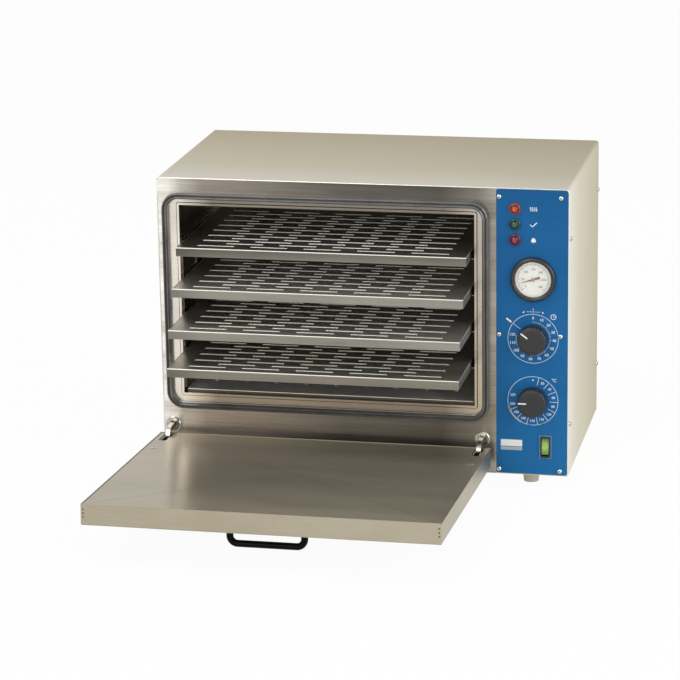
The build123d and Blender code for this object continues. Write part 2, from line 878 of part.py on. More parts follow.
with BuildPart() as door_inner_sheet:
    add(creased_block(0, 0))
    add(creased_block(door_sheet, door_sheet), mode=Mode.SUBTRACT)
    with BuildSketch(door_level(sheet_face - 2 * door_sheet)):
        for x in (-hinge_x, hinge_x):
            with Locations((x, slot_middle)):
                SlotOverall(slot_length, slot_width, rotation=90)
            with Locations((x, lower_edge - rivet_distance)):
                with GridLocations(rivet_pitch, 0, 2, 1):
                    Circle(rivet_diameter / 2 + pin_play)
    extrude(amount=4 * door_sheet, mode=Mode.SUBTRACT)
write(door_inner_sheet, "door_inner_sheet")

cheek_gap = arm_width + 2 * bracket_play
web_start = slot_start + slot_length + 2
with BuildPart() as hinge_brackets:
    for x in (-hinge_x, hinge_x):
        with BuildSketch(door_level(sheet_face - door_sheet - fit_gap)):
            with Locations((x, lower_edge - sheet_inset - door_sheet - fit_gap)):
                Rectangle(
                    cheek_gap + 2 * bracket_sheet,
                    bracket_length,
                    align=(Align.CENTER, Align.MAX),
                )
        extrude(amount=-bracket_height - bracket_sheet)
        with BuildSketch(door_level(sheet_face - door_sheet - fit_gap - bracket_sheet)):
            with Locations((x, lower_edge)):
                Rectangle(cheek_gap, 2 * door_length)
        extrude(amount=-bracket_height - bracket_sheet, mode=Mode.SUBTRACT)
        with BuildSketch(door_level(sheet_face)):
            with Locations((x, lower_edge)):
                Rectangle(cheek_gap, web_start, align=(Align.CENTER, Align.MAX))
        extrude(amount=-2 * bracket_sheet - door_sheet, mode=Mode.SUBTRACT)
        with BuildSketch(door_level(sheet_face)):
            with Locations((x, lower_edge - rivet_distance)):
                with GridLocations(rivet_pitch, 0, 2, 1):
                    Circle(rivet_diameter / 2 + pin_play)
        extrude(amount=-2 * bracket_sheet - door_sheet, mode=Mode.SUBTRACT)
    with Locations((door_x, hinge_y, hinge_z)):
        Cylinder(
            pin_radius + pin_play,
            door_width,
            rotation=(0, 90, 0),
            mode=Mode.SUBTRACT,
        )
write(hinge_brackets, "hinge_brackets")

with BuildPart() as hinge_pins:
    for x in (-hinge_x, hinge_x):
        with Locations((door_x + x, hinge_y, hinge_z)):
            Cylinder(
                pin_radius,
                cheek_gap + 2 * bracket_sheet + 2 * pin_radius,
                rotation=(0, 90, 0),
            )
write(hinge_pins, "hinge_pins")

with BuildPart() as bracket_rivets:
    for x in (-hinge_x, hinge_x):
        for side in (-1, 1):
            rivet_x = x + side * rivet_pitch / 2
            rivet_y = lower_edge - rivet_distance
            with BuildSketch(door_level(sheet_face - door_sheet - fit_gap - bracket_sheet)):
                with Locations((rivet_x, rivet_y)):
                    Circle(rivet_diameter / 2)
            extrude(amount=bracket_sheet + door_sheet + 2 * fit_gap)
            with BuildSketch(door_level(sheet_face + fit_gap)):
                with Locations((rivet_x, rivet_y)):
                    Circle(rivet_diameter / 2 + rivet_rim)
            extrude(amount=rivet_head)
write(bracket_rivets, "bracket_rivets")

wool_play = 1
wool_inset = sheet_inset + door_sheet + wool_play
wool_thickness = sheet_face - door_sheet - pan_floor - 2 * fit_gap
with BuildPart() as door_insulation:
    with BuildSketch(door_level(pan_floor + fit_gap)):
        with Locations((0, door_middle)):
            Rectangle(door_width - 2 * wool_inset, door_length - 2 * wool_inset)
        with Locations((-hinge_x, lower_edge), (hinge_x, lower_edge)):
            Rectangle(
                2 * (hinge_inset + cheek_gap),
                2 * (bracket_length + wool_inset),
                mode=Mode.SUBTRACT,
            )
    extrude(amount=wool_thickness)
    with BuildSketch(door_level(pan_floor)):
        with Locations((0, handle_y)):
            with GridLocations(handle_pitch, 0, 2, 1):
                Circle(cover_screw_head / 2 + wool_play)
    extrude(amount=screw_head_height + wool_play, mode=Mode.SUBTRACT)
write(door_insulation, "door_insulation")

outer_level = inner_face - door_thickness


def door_point(x, y, height):
    """A point given on the door, in the part's own frame."""
    return door_plane.from_local_coords(Vector(x, y, height))


with BuildPart() as door_handle:
    with BuildLine():
        FilletPolyline(
            door_point(-handle_pitch / 2, handle_y, outer_level),
            door_point(-handle_pitch / 2, handle_y, outer_level - handle_standoff),
            door_point(handle_pitch / 2, handle_y, outer_level - handle_standoff),
            door_point(handle_pitch / 2, handle_y, outer_level),
            radius=handle_bend,
        )
    with BuildSketch(door_level(outer_level)):
        with Locations((-handle_pitch / 2, handle_y)):
            Circle(handle_diameter / 2)
    sweep()
    with BuildSketch(door_level(outer_level)):
        with Locations((0, handle_y)):
            with GridLocations(handle_pitch, 0, 2, 1):
                Circle(handle_screw / 2 + seam)
    extrude(amount=-handle_screw_length, mode=Mode.SUBTRACT)
write(door_handle, "door_handle")

with BuildPart() as handle_screws:
    with BuildSketch(door_level(pan_floor)):
        with Locations((0, handle_y)):
            with GridLocations(handle_pitch, 0, 2, 1):
                Circle(cover_screw_head / 2)
    extrude(amount=screw_head_height)
    with BuildSketch(door_level(pan_floor)):
        with Locations((0, handle_y)):
            with GridLocations(handle_pitch, 0, 2, 1):
                Circle(handle_screw / 2)
    extrude(amount=-handle_screw_length)
write(handle_screws, "handle_screws")

# ---------------------------------------------------------------- pilot lamps
lamp_names = ("heating", "ready", "alarm")
with BuildPart() as lamp_bezels:
    for level in lamp_levels:
        with BuildSketch(panel_face):
            with Locations(on_front(level, lamp_x)):
                Circle(lamp_diameter / 2)
        extrude(amount=lamp_proud)
        with BuildSketch(panel_face):
            with Locations(on_front(level, lamp_x)):
                Circle(lamp_barrel / 2)
        extrude(amount=-lamp_length)
        with BuildSketch(panel_face.offset(lamp_proud)):
            with Locations(on_front(level, lamp_x)):
                Circle(lens_diameter / 2)
        extrude(amount=-lamp_proud - lamp_length + liner_sheet, mode=Mode.SUBTRACT)
write(lamp_bezels, "lamp_bezels")

for level, name in zip(lamp_levels, lamp_names):
    with BuildPart() as lens:
        with BuildSketch(panel_face):
            with Locations(on_front(level, lamp_x)):
                Circle(lens_diameter / 2 - seam / 2)
        extrude(amount=lens_proud)
        extrude(faces().sort_by(Axis.Y)[-1], amount=lamp_length / 2)
        chamfer(faces().sort_by(Axis.Y)[0].edges(), lens_proud - lamp_proud)
    write(lens, f"{name}_lamp_lens")

# ---------------------------------------------------------------- thermometer
gauge_center = on_front(gauge_level)
case_bore = gauge_case / 2 - gauge_wall
dial_level = dial_depth                     # dial's front above the panel's face
glass_level = gauge_proud - 2 * glass_sheet
with BuildPart() as thermometer_case:
    with BuildSketch(panel_face):
        with Locations(gauge_center):
            Circle(gauge_case / 2)
    extrude(amount=-gauge_case_length)
    with BuildSketch(panel_face):
        with Locations(gauge_center):
            Circle(case_bore)
    extrude(amount=-gauge_case_length + 2 * gauge_wall, mode=Mode.SUBTRACT)
write(thermometer_case, "thermometer_case")

with BuildPart() as thermometer_bezel:
    with BuildSketch(panel_face):
        with Locations(gauge_center):
            Circle(gauge_bezel / 2)
    extrude(amount=gauge_proud)
    chamfer(faces().sort_by(Axis.Y)[0].edges(), gauge_proud / 2)
    with BuildSketch(panel_face):
        with Locations(gauge_center):
            Circle(gauge_dial / 2)
    extrude(amount=gauge_proud, mode=Mode.SUBTRACT)
    with BuildSketch(panel_face):
        with Locations(gauge_center):
            Circle(case_bore)
    extrude(amount=glass_level + glass_sheet + seam, mode=Mode.SUBTRACT)
write(thermometer_bezel, "thermometer_bezel")

with BuildPart() as thermometer_dial:
    with BuildSketch(panel_face.offset(dial_level)):
        with Locations(gauge_center):
            Circle(case_bore - seam)
            Circle(needle_pin / 2 + pin_play, mode=Mode.SUBTRACT)
    extrude(amount=-dial_sheet)
write(thermometer_dial, "thermometer_dial")

with BuildPart() as thermometer_glass:
    with BuildSketch(panel_face.offset(glass_level)):
        with Locations(gauge_center):
            Circle(case_bore - seam)
    extrude(amount=glass_sheet)
write(thermometer_glass, "thermometer_glass")

needle_level = (dial_level + glass_level - needle_sheet) / 2
with BuildPart() as thermometer_needle:
    with BuildSketch(dial_plane(gauge_level, needle_level, needle_angle)):
        with BuildLine():
            Polyline(
                (needle_length, 0),
                (0, needle_root / 2),
                (-needle_tail, needle_end / 2),
                (-needle_tail, -needle_end / 2),
                (0, -needle_root / 2),
                close=True,
            )
        make_face()
        Circle(needle_pin)
    extrude(amount=needle_sheet)
    with BuildSketch(panel_face.offset(needle_level)):
        with Locations(gauge_center):
            Circle(needle_pin / 2)
    extrude(amount=-needle_level - dial_sheet)
write(thermometer_needle, "thermometer_needle")

# ---------------------------------------------------------------- timer and thermostat
chassis_rear = front_y + sheet


def instrument_case(level, size, length):
    """A switch body behind the chassis, with a threaded bush through the panel."""
    with BuildPart() as case:
        with BuildSketch(front.offset(-sheet)):
            with Locations(on_front(level)):
                Rectangle(size, size)
        extrude(amount=-length)
        with BuildSketch(front.offset(-sheet)):
            with Locations(on_front(level)):
                Circle(bush_diameter / 2)
        extrude(amount=bush_length - sheet)
        with BuildSketch(front.offset(bush_length)):
            with Locations(on_front(level)):
                Circle(shaft_diameter / 2 + shaft_play)
        extrude(amount=-bush_length - length / 2, mode=Mode.SUBTRACT)
    return case


def shaft(level, length):
    """A shaft from half-way down the case up into the knob."""
    with BuildPart() as piece:
        with BuildSketch(front.offset(-length / 2 + shaft_play)):
            with Locations(on_front(level)):
                Circle(shaft_diameter / 2)
        extrude(amount=length / 2 + panel_sheet + knob_lift + knob_height * 0.6)
    return piece


def knob(level, pointer):
    """A fluted round knob with a bore for the shaft and a groove for its mark."""
    skirt = panel_face.offset(knob_lift)
    center = on_front(level)
    with BuildPart() as piece:
        with BuildSketch(skirt):
            with Locations(center):
                Circle(knob_diameter / 2)
        extrude(amount=knob_height)
        chamfer(faces().sort_by(Axis.Y)[0].edges(), knob_edge)
        with BuildSketch(skirt.offset(knob_height / 4)):
            with Locations(center):
                with PolarLocations(knob_diameter / 2 + knob_flute - knob_flute_depth, knob_flutes):
                    Circle(knob_flute)
        extrude(amount=knob_height, mode=Mode.SUBTRACT)
        with BuildSketch(skirt):
            with Locations(center):
                Circle(shaft_diameter / 2 + seam / 2)
        extrude(amount=knob_height * 0.6 + seam, mode=Mode.SUBTRACT)
        with BuildSketch(skirt):
            with Locations(center):
                Circle(bush_diameter / 2 + 1)
        extrude(amount=bush_length - panel_sheet, mode=Mode.SUBTRACT)
        with BuildSketch(dial_plane(level, knob_lift + knob_height, pointer)):
            with Locations((knob_diameter / 2 - pointer_inset, 0)):
                Rectangle(pointer_length, pointer_width, align=(Align.MAX, Align.CENTER))
        extrude(amount=-pointer_depth, mode=Mode.SUBTRACT)
    return piece


for name, level, pointer, size, length in (
    ("timer", timer_level, timer_pointer, timer_size, timer_length),
    ("thermostat", thermostat_level, thermostat_pointer, thermostat_size, thermostat_length),
):
    write(instrument_case(level, size, length), f"{name}_case")
    write(shaft(level, length), f"{name}_shaft")
    write(knob(level, pointer), f"{name}_knob")

# ---------------------------------------------------------------- capillary sensors
gauge_case_rear = front_y + gauge_case_length - panel_sheet
thermostat_rear = chassis_rear + thermostat_length
for name, level, start_y, bend_y, sensor_x in (
    ("thermometer", gauge_level, gauge_case_rear, insulation_rear + rear_space / 4, sensor_xs[0]),
    ("thermostat", thermostat_level, thermostat_rear, insulation_rear + rear_space / 2, sensor_xs[1]),
):
    level_z = casing_bottom + level
    with BuildPart() as sensor:
        with BuildLine():
            FilletPolyline(
                (instrument_x, start_y, level_z),
                (instrument_x, bend_y, level_z),
                (sensor_x, bend_y, sensor_z),
                (sensor_x, chamber_rear, sensor_z),
                radius=sensor_bend,
            )
        with BuildSketch(Plane(origin=(instrument_x, start_y, level_z), z_dir=(0, 1, 0))):
            Circle(sensor_tube / 2)
        sweep()
        with Locations((sensor_x, chamber_rear - sensor_bulb_length / 2, sensor_z)):
            Cylinder(sensor_bulb / 2, sensor_bulb_length, rotation=(90, 0, 0))
    write(sensor, f"{name}_sensor")

# ---------------------------------------------------------------- rocker switch
rocker_center = on_front(rocker_level, rocker_x)
with BuildPart() as rocker_frame:
    with BuildSketch(panel_face):
        with Locations(rocker_center):
            RectangleRounded(rocker_frame_width, rocker_frame_height, 1)
    extrude(amount=rocker_frame_proud)
    with BuildSketch(panel_face):
        with Locations(rocker_center):
            Rectangle(rocker_body_width, rocker_body_height)
    extrude(amount=-rocker_body_length)
    with BuildSketch(panel_face.offset(rocker_frame_proud)):
        with Locations(rocker_center):
            Rectangle(rocker_width + 2 * rocker_play, rocker_height + 2 * rocker_play)
    extrude(amount=-rocker_frame_proud - 2 * rocker_pivot, mode=Mode.SUBTRACT)
    with Locations((rocker_x, panel_face.origin.Y + rocker_pivot, casing_bottom + rocker_level)):
        Cylinder(
            rocker_pin / 2 + pin_play,
            rocker_frame_width,
            rotation=(0, 90, 0),
            mode=Mode.SUBTRACT,
        )
write(rocker_frame, "rocker_frame")

pivot_y = front_y - panel_sheet + rocker_pivot
pivot_z = casing_bottom + rocker_level
half_rocker = rocker_height / 2 - 3 * rocker_play
rocker_end = rocker_pivot + rocker_frame_proud - rocker_play
rocker_pressed = Plane(
    origin=(rocker_x, pivot_y, pivot_z),
    x_dir=(0, cos(radians(rocker_tilt)), -sin(radians(rocker_tilt))),
    z_dir=(1, 0, 0),
)
with BuildPart() as rocker:
    with BuildSketch(rocker_pressed):
        with BuildLine():
            Polyline(
                (rocker_play, -half_rocker / 2),
                (rocker_play, half_rocker / 2),
                (-rocker_end, half_rocker),
                (-rocker_end - rocker_crown, 0),
                (-rocker_end, -half_rocker),
                close=True,
            )
        make_face()
    extrude(amount=rocker_width / 2, both=True)
    with BuildSketch(rocker_pressed):
        Circle(rocker_pin / 2)
    extrude(amount=rocker_body_width / 2, both=True)
write(rocker, "rocker")

# ---------------------------------------------------------------- mains inlet
with BuildPart() as mains_inlet:
    with BuildSketch(rear):
        with Locations((-inlet_x, inlet_z)):
            RectangleRounded(inlet_flange_width, inlet_flange_height, 4)
    extrude(amount=inlet_flange_sheet)
    with BuildSketch(rear):
        with Locations((-inlet_x, inlet_z)):
            Rectangle(inlet_width, inlet_height)
    extrude(amount=-inlet_length)
    with BuildSketch(rear.offset(inlet_flange_sheet)):
        with Locations((-inlet_x, inlet_z)):
            Rectangle(socket_width, socket_height)
        chamfer(vertices().group_by(Axis.Y)[-1], 4)
    extrude(amount=-socket_depth, mode=Mode.SUBTRACT)
    with BuildSketch(rear.offset(inlet_flange_sheet)):
        with Locations((-inlet_x, inlet_z)):
            with GridLocations(inlet_screw_pitch, 0, 2, 1):
                Circle(panel_screw_shank / 2 + seam)
    extrude(amount=-inlet_flange_sheet, mode=Mode.SUBTRACT)
    with BuildSketch(rear.offset(inlet_flange_sheet)):
        with Locations((-inlet_x, inlet_z)):
            with GridLocations(inlet_screw_pitch, 0, 2, 1):
                Circle(panel_screw_head / 2 + seam)
    extrude(amount=-screw_head_height / 2, mode=Mode.SUBTRACT)
write(mains_inlet, "mains_inlet")

with BuildPart() as inlet_pins:
    for column, row in ((-1, 0), (0, 1), (1, 0)):
        with BuildSketch(rear.offset(inlet_flange_sheet - socket_depth)):
            with Locations((-inlet_x + column * inlet_pin_pitch, inlet_z - 2 + row * 4)):
                Rectangle(2, 4)
        extrude(amount=inlet_pin_length)
write(inlet_pins, "inlet_pins")

with BuildPart() as inlet_screws:
    for side in (-1, 1):
        with BuildSketch(rear.offset(inlet_flange_sheet)):
            with Locations((-inlet_x + side * inlet_screw_pitch / 2, inlet_z)):
                Circle(panel_screw_shank / 2)
        extrude(amount=-screw_length)
        with BuildSketch(rear.offset(inlet_flange_sheet)):
            with Locations((-inlet_x + side * inlet_screw_pitch / 2, inlet_z)):
                Circle(panel_screw_head / 2)
        extrude(amount=-screw_head_height / 2)
write(inlet_screws, "inlet_screws")

with BuildPart() as terminal_block:
    with BuildSketch(Plane.XY.offset(casing_bottom + sheet)):
        with Locations((instrument_x, rear_y - 3 * inlet_length - terminal_length / 2)):
            Rectangle(terminal_width, terminal_length)
    extrude(amount=terminal_height)
write(terminal_block, "terminal_block")
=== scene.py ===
"""Bench-top dry heat sterilizer, dressed: stainless casing, chamber, trays, door and controls."""
from math import cos, pi, radians, sin
import bmesh
import bpy
from mathutils import Matrix, Vector


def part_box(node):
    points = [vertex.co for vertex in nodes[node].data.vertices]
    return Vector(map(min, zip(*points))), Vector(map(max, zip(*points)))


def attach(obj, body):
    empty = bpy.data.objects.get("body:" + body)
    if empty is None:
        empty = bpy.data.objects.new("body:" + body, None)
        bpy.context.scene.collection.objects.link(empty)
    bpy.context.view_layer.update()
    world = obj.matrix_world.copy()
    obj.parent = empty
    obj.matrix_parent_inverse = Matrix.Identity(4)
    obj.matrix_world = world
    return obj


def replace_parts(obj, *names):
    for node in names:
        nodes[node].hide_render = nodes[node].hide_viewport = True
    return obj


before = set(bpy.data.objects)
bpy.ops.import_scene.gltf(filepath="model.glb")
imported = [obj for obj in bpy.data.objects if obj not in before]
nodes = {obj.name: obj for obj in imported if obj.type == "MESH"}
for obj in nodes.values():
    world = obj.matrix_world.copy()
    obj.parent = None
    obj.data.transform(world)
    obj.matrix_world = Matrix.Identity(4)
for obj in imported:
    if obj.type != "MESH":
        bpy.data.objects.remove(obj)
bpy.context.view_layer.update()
mm = 0.001

# ---------------------------------------------------------------- camera
# The photographer stood to the right of the middle and a little above, with a long lens,
# and held the camera almost level.
camera_position = Vector((766.2, -3682.05, 1272.0)) * mm
camera_azimuth = radians(12.0723)
camera_elevation = radians(15.7854)
camera_roll = radians(-0.903874)
forward = Vector((
    -sin(camera_azimuth) * cos(camera_elevation),
    cos(camera_azimuth) * cos(camera_elevation),
    -sin(camera_elevation),
))
level_right = Vector((cos(camera_azimuth), sin(camera_azimuth), 0))
level_up = level_right.cross(forward)
right = level_right * cos(camera_roll) + level_up * sin(camera_roll)
up = level_up * cos(camera_roll) - level_right * sin(camera_roll)
lens = bpy.data.cameras.new("camera")
lens.lens = 155.25
lens.sensor_width = 36
camera = bpy.data.objects.new("camera", lens)
camera.matrix_world = Matrix((right, up, -forward)).transposed().to_4x4()
camera.matrix_world.translation = camera_position
bpy.context.scene.collection.objects.link(camera)
bpy.context.scene.camera = camera
bpy.context.scene.view_settings.view_transform = "Standard"


# ---------------------------------------------------------------- outer cover
# The wrapped cover is one sheet of stainless steel, bent over both upper edges. It was ground
# with a belt, so fine streaks run along the sheet and it mirrors the room only dimly.
def linear(colour):
    """An sRGB hex colour as the linear values that a shader takes."""
    parts = [int(colour[i:i + 2], 16) / 255 for i in (1, 3, 5)]
    return (*(p / 12.92 if p <= 0.04045 else ((p + 0.055) / 1.055) ** 2.4 for p in parts), 1)


def add(tree, kind, settings=(), links=()):
    """Adds a node, sets its attributes or sockets, and links its sockets to others."""
    piece = tree.nodes.new(kind)
    for name, value in dict(settings).items():
        if isinstance(name, str) and hasattr(piece, name):
            setattr(piece, name, value)
        else:
            piece.inputs[name].default_value = value
    for name, socket in dict(links).items():
        tree.links.new(socket, piece.inputs[name])
    return piece


def blank(name):
    """A new material, its tree and shader, and the place that its patterns read."""
    surface = bpy.data.materials.new(name)
    surface.use_nodes = True
    tree = surface.node_tree
    place = add(tree, "ShaderNodeTexCoord").outputs["Object"]
    return surface, tree, tree.nodes["Principled BSDF"], place


def stainless(name, light, dark, streaks, roughness, cloud=(7, 7, 7), relief=0.05, spread=0.12,
              tones=(), smear=0.0):
    """Ground or rolled sheet. streaks and cloud say how many of them a metre holds along X, Y
    and Z. A tone is (axis, from, to, [(place, colour), ...]): painted reflection and shade
    along the sheet. smear spreads what the sheet mirrors, across streaks that run along X."""
    surface, tree, shader, place = blank(name)
    drawn = add(tree, "ShaderNodeMapping", {"Scale": streaks}, {"Vector": place})
    grain = add(tree, "ShaderNodeTexNoise", {"Scale": 1, "Detail": 4, "Roughness": 0.6},
                {"Vector": drawn.outputs[0]})
    drift = add(tree, "ShaderNodeMapping", {"Scale": cloud}, {"Vector": place})
    haze = add(tree, "ShaderNodeTexNoise", {"Scale": 1, "Detail": 3, "Roughness": 0.55},
               {"Vector": drift.outputs[0]})
    sum_up = add(tree, "ShaderNodeMath", {"operation": "MULTIPLY_ADD", 1: 0.55},
                 {0: grain.outputs["Fac"], 2: haze.outputs["Fac"]})
    tone = add(tree, "ShaderNodeMapRange", {"From Min": 0.55, "From Max": 1.0},
               {"Value": sum_up.outputs[0]})
    paint = add(tree, "ShaderNodeMix", {"data_type": "RGBA", 6: linear(dark), 7: linear(light)},
                {0: tone.outputs[0]}).outputs[2]
    split = add(tree, "ShaderNodeSeparateXYZ", links={0: place})
    for axis, start, end, stops in tones:
        along = add(tree, "ShaderNodeMapRange", {"From Min": start, "From Max": end},
                    {"Value": split.outputs["XYZ".index(axis)]})
        ramp = add(tree, "ShaderNodeValToRGB", links={0: along.outputs[0]})
        for i, (at, colour) in enumerate(stops):
            stop = ramp.color_ramp.elements[i] if i < 2 else ramp.color_ramp.elements.new(at)
            stop.position, stop.color = at, linear(colour)
        paint = add(tree, "ShaderNodeMix",
                    {"data_type": "RGBA", "blend_type": "MULTIPLY", "Factor": 1},
                    {6: paint, 7: ramp.outputs[0]}).outputs[2]
    tree.links.new(paint, shader.inputs["Base Color"])
    polish = add(tree, "ShaderNodeMapRange",
                 {"From Min": 0.25, "From Max": 0.75, "To Min": roughness - spread / 2,
                  "To Max": roughness + spread / 2}, {"Value": haze.outputs["Fac"]})
    tree.links.new(polish.outputs[0], shader.inputs["Roughness"])
    shader.inputs["Metallic"].default_value = 1
    if smear:
        shader.inputs["Anisotropic"].default_value = smear
        across = add(tree, "ShaderNodeCombineXYZ", {"Y": 0.7, "Z": 0.7})
        tree.links.new(across.outputs[0], shader.inputs["Tangent"])
    scratches = add(tree, "ShaderNodeBump", {"Strength": relief, "Distance": 0.4 * mm},
                    {"Height": grain.outputs["Fac"]})
    tree.links.new(scratches.outputs[0], shader.inputs["Normal"])
    return surface


def dress(surface, *names):
    """Gives CAD nodes their material."""
    for name in names:
        for place in nodes[name].material_slots:
            place.material = surface


# Grinding streaks are about 0.1 mm wide; they are drawn 0.8 mm wide so that they show.
cover_low, cover_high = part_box("outer_cover")
# Painted reflection: the colour is lighter at the front and on the sides, darker to the rear.
ground_steel = stainless(
    "ground stainless steel with painted reflection", "#f4f2ea", "#eeebe1", (1200, 18, 18), 0.42, spread=0.03,
    tones=[("Y", cover_low.y, cover_high.y, [(0, "#ffffff"), (1, "#cfc6ab"), (0.3, "#eae6d8")]),
           ("X", cover_low.x, cover_high.x, [
               (0, "#f1f0ec"), (1, "#f1f0ec"), (0.007, "#d3d0c9"), (0.5, "#cfccc3"),
               (0.993, "#cac6bb")])])
dress(ground_steel, "outer_cover")
inner_steel = stainless("plain ground sheet", "#c8c0a6", "#c0b79c", (18, 1200, 1200), 0.4,
                        spread=0.06)
dress(inner_steel, "rear_panel", "base_pan", "control_chassis", "partition")


# ---------------------------------------------------------------- screws
# Zinc-plated pan-head screws with a cross recess hold the cover, the control panel and the
# inlet. The heads are pressed, with rounded rims, and no two crosses stand alike. The shanks
# are hidden in the sheets and aren't drawn.
def finish(name, mesh, surface, body, edge=32):
    """Turns a bmesh into a smooth piece that rides on a body."""
    bmesh.ops.remove_doubles(mesh, verts=mesh.verts, dist=1e-6)
    bmesh.ops.recalc_face_normals(mesh, faces=mesh.faces)
    data = bpy.data.meshes.new(name)
    mesh.to_mesh(data)
    mesh.free()
    return settle(name, data, surface, body, edge)


def settle(name, data, surface, body, edge=32):
    """Links a mesh as a piece, smooth between its sharp edges."""
    data.materials.clear()
    data.materials.append(surface)
    data.shade_smooth()
    data.set_sharp_from_angle(angle=radians(edge))
    piece = bpy.data.objects.new(name, data)
    bpy.context.scene.collection.objects.link(piece)
    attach(piece, body)
    return piece


def turn_outline(mesh, outline, sides=48, shape=None):
    """Turns an outline of (radius, height) round Z. shape(angle, step) may scale a radius."""
    rings = []
    for step, (radius, height) in enumerate(outline):
        if radius < 1e-7:
            rings.append([mesh.verts.new((0, 0, height))])
            continue
        ring = []
        for i in range(sides):
            angle = 2 * pi * i / sides
            reach = radius * (shape(angle, step) if shape else 1)
            ring.append(mesh.verts.new((reach * cos(angle), reach * sin(angle), height)))
        rings.append(ring)
    for low, high in zip(rings, rings[1:]):
        if len(low) == 1 and len(high) == 1:
            continue
        for i in range(sides):
            j = (i + 1) % sides
            corners = [low[0]] if len(low) == 1 else [low[i], low[j]]
            corners += [high[0]] if len(high) == 1 else [high[j], high[i]]
            mesh.faces.new(corners)


def repeater():
    """A tree that sets one piece on every point, turned and spun, and joins them."""
    tree = bpy.data.node_groups.new("set a piece on every point", "GeometryNodeTree")
    for name, way, kind in (
        ("Points", "INPUT", "NodeSocketGeometry"),
        ("Piece", "INPUT", "NodeSocketObject"),
        ("Size", "INPUT", "NodeSocketFloat"),
        ("Spin", "INPUT", "NodeSocketFloat"),
        ("Seed", "INPUT", "NodeSocketInt"),
        ("Finish", "INPUT", "NodeSocketMaterial"),
        ("Pieces", "OUTPUT", "NodeSocketGeometry"),
    ):
        tree.interface.new_socket(name, in_out=way, socket_type=kind)
    given = add(tree, "NodeGroupInput").outputs
    piece = add(tree, "GeometryNodeObjectInfo", links={"Object": given["Piece"]})
    facing = add(tree, "GeometryNodeInputNamedAttribute",
                 {"data_type": "FLOAT_VECTOR", "Name": "turn"})
    turn = add(tree, "FunctionNodeEulerToRotation", links={0: facing.outputs["Attribute"]})
    size = add(tree, "ShaderNodeCombineXYZ", links={i: given["Size"] for i in range(3)})
    placed = add(tree, "GeometryNodeInstanceOnPoints", links={
        "Points": given["Points"], "Instance": piece.outputs["Geometry"],
        "Rotation": turn.outputs[0], "Scale": size.outputs[0]})
    chance = add(tree, "FunctionNodeRandomValue", {"data_type": "FLOAT", 2: 0},
                 {3: given["Spin"], "Seed": given["Seed"]})
    about = add(tree, "ShaderNodeCombineXYZ", links={2: chance.outputs[1]})
    spun = add(tree, "GeometryNodeRotateInstances",
               links={"Instances": placed.outputs[0], "Rotation": about.outputs[0]})
    real = add(tree, "GeometryNodeRealizeInstances", links={0: spun.outputs[0]})
    painted = add(tree, "GeometryNodeSetMaterial",
                  links={"Geometry": real.outputs[0], "Material": given["Finish"]})
    add(tree, "NodeGroupOutput", links={0: painted.outputs[0]})
    return tree


repeat_tree = repeater()


def repeat(name, piece, places, surface, body, size=1, spin=0, seed=1, edge=32):
    """Sets a piece on every (point, facing) and makes them one mesh."""
    dots = bpy.data.meshes.new(name)
    dots.from_pydata([point for point, facing in places], [], [])
    turn = dots.attributes.new("turn", "FLOAT_VECTOR", "POINT")
    for i, (point, facing) in enumerate(places):
        turn.data[i].vector = Vector(facing).to_track_quat("Z", "Y").to_euler()
    host = bpy.data.objects.new(name, dots)
    bpy.context.scene.collection.objects.link(host)
    work = host.modifiers.new("repeat", "NODES")
    work.node_group = repeat_tree
    values = {"Piece": piece, "Size": size, "Spin": spin, "Seed": seed, "Finish": surface}
    for socket in repeat_tree.interface.items_tree:
        if socket.in_out == "INPUT" and socket.name in values:
            work[socket.identifier] = values[socket.name]
    bpy.context.view_layer.update()
    seen = host.evaluated_get(bpy.context.evaluated_depsgraph_get())
    data = bpy.data.meshes.new_from_object(seen)
    bpy.data.objects.remove(host)
    return settle(name, data, surface, body, edge)


def template(name, mesh):
    """A piece that only lends its shape to the repeats."""
    bmesh.ops.recalc_face_normals(mesh, faces=mesh.faces)
    data = bpy.data.meshes.new(name)
    mesh.to_mesh(data)
    mesh.free()
    piece = bpy.data.objects.new(name, data)
    bpy.context.scene.collection.objects.link(piece)
    return piece


def plated(name, colour, roughness=0.28):
    """Zinc plate or polished steel with a faint mottle about 4 mm across."""
    surface, tree, shader, place = blank(name)
    shader.inputs["Base Color"].default_value = linear(colour)
    shader.inputs["Metallic"].default_value = 1
    mottle = add(tree, "ShaderNodeTexNoise", {"Scale": 250, "Detail": 2}, {"Vector": place})
    polish = add(tree, "ShaderNodeMapRange", {"To Min": roughness - 0.1, "To Max": roughness + 0.1},
                 {"Value": mottle.outputs["Fac"]})
    tree.links.new(polish.outputs[0], shader.inputs["Roughness"])
    return surface


zinc_plate = plated("zinc-plated steel", "#dedcd2")
# Outlines are in head widths. The seat lies this far below the top of the CAD head, so that
# the cross stays just under it.
seat_depth = 0.337
screw_dome = [(0, -0.3), (0.46, -0.3), (0.5, -0.26), (0.5, 0.04), (0.47, 0.14), (0.4, 0.22),
              (0.28, 0.29), (0.14, 0.32), (0, 0.33)]
head = bmesh.new()
turn_outline(head, screw_dome, 32)
screw_head = template("screw head", head)
# Painted shade: the recess isn't cut; a flat dark cross on each head stands for its shade.
painted_recess_shade = plated("shaded cross recess", "#4c4b49", 0.5)
arms = bmesh.new()
for angle in (0, pi / 2):
    bmesh.ops.create_cube(arms, size=1, matrix=Matrix.Translation((0, 0, 0.325))
                          @ Matrix.Rotation(angle, 4, "Z") @ Matrix.Diagonal((0.52, 0.13, 0.02, 1)))
cross_recess = template("cross recess", arms)


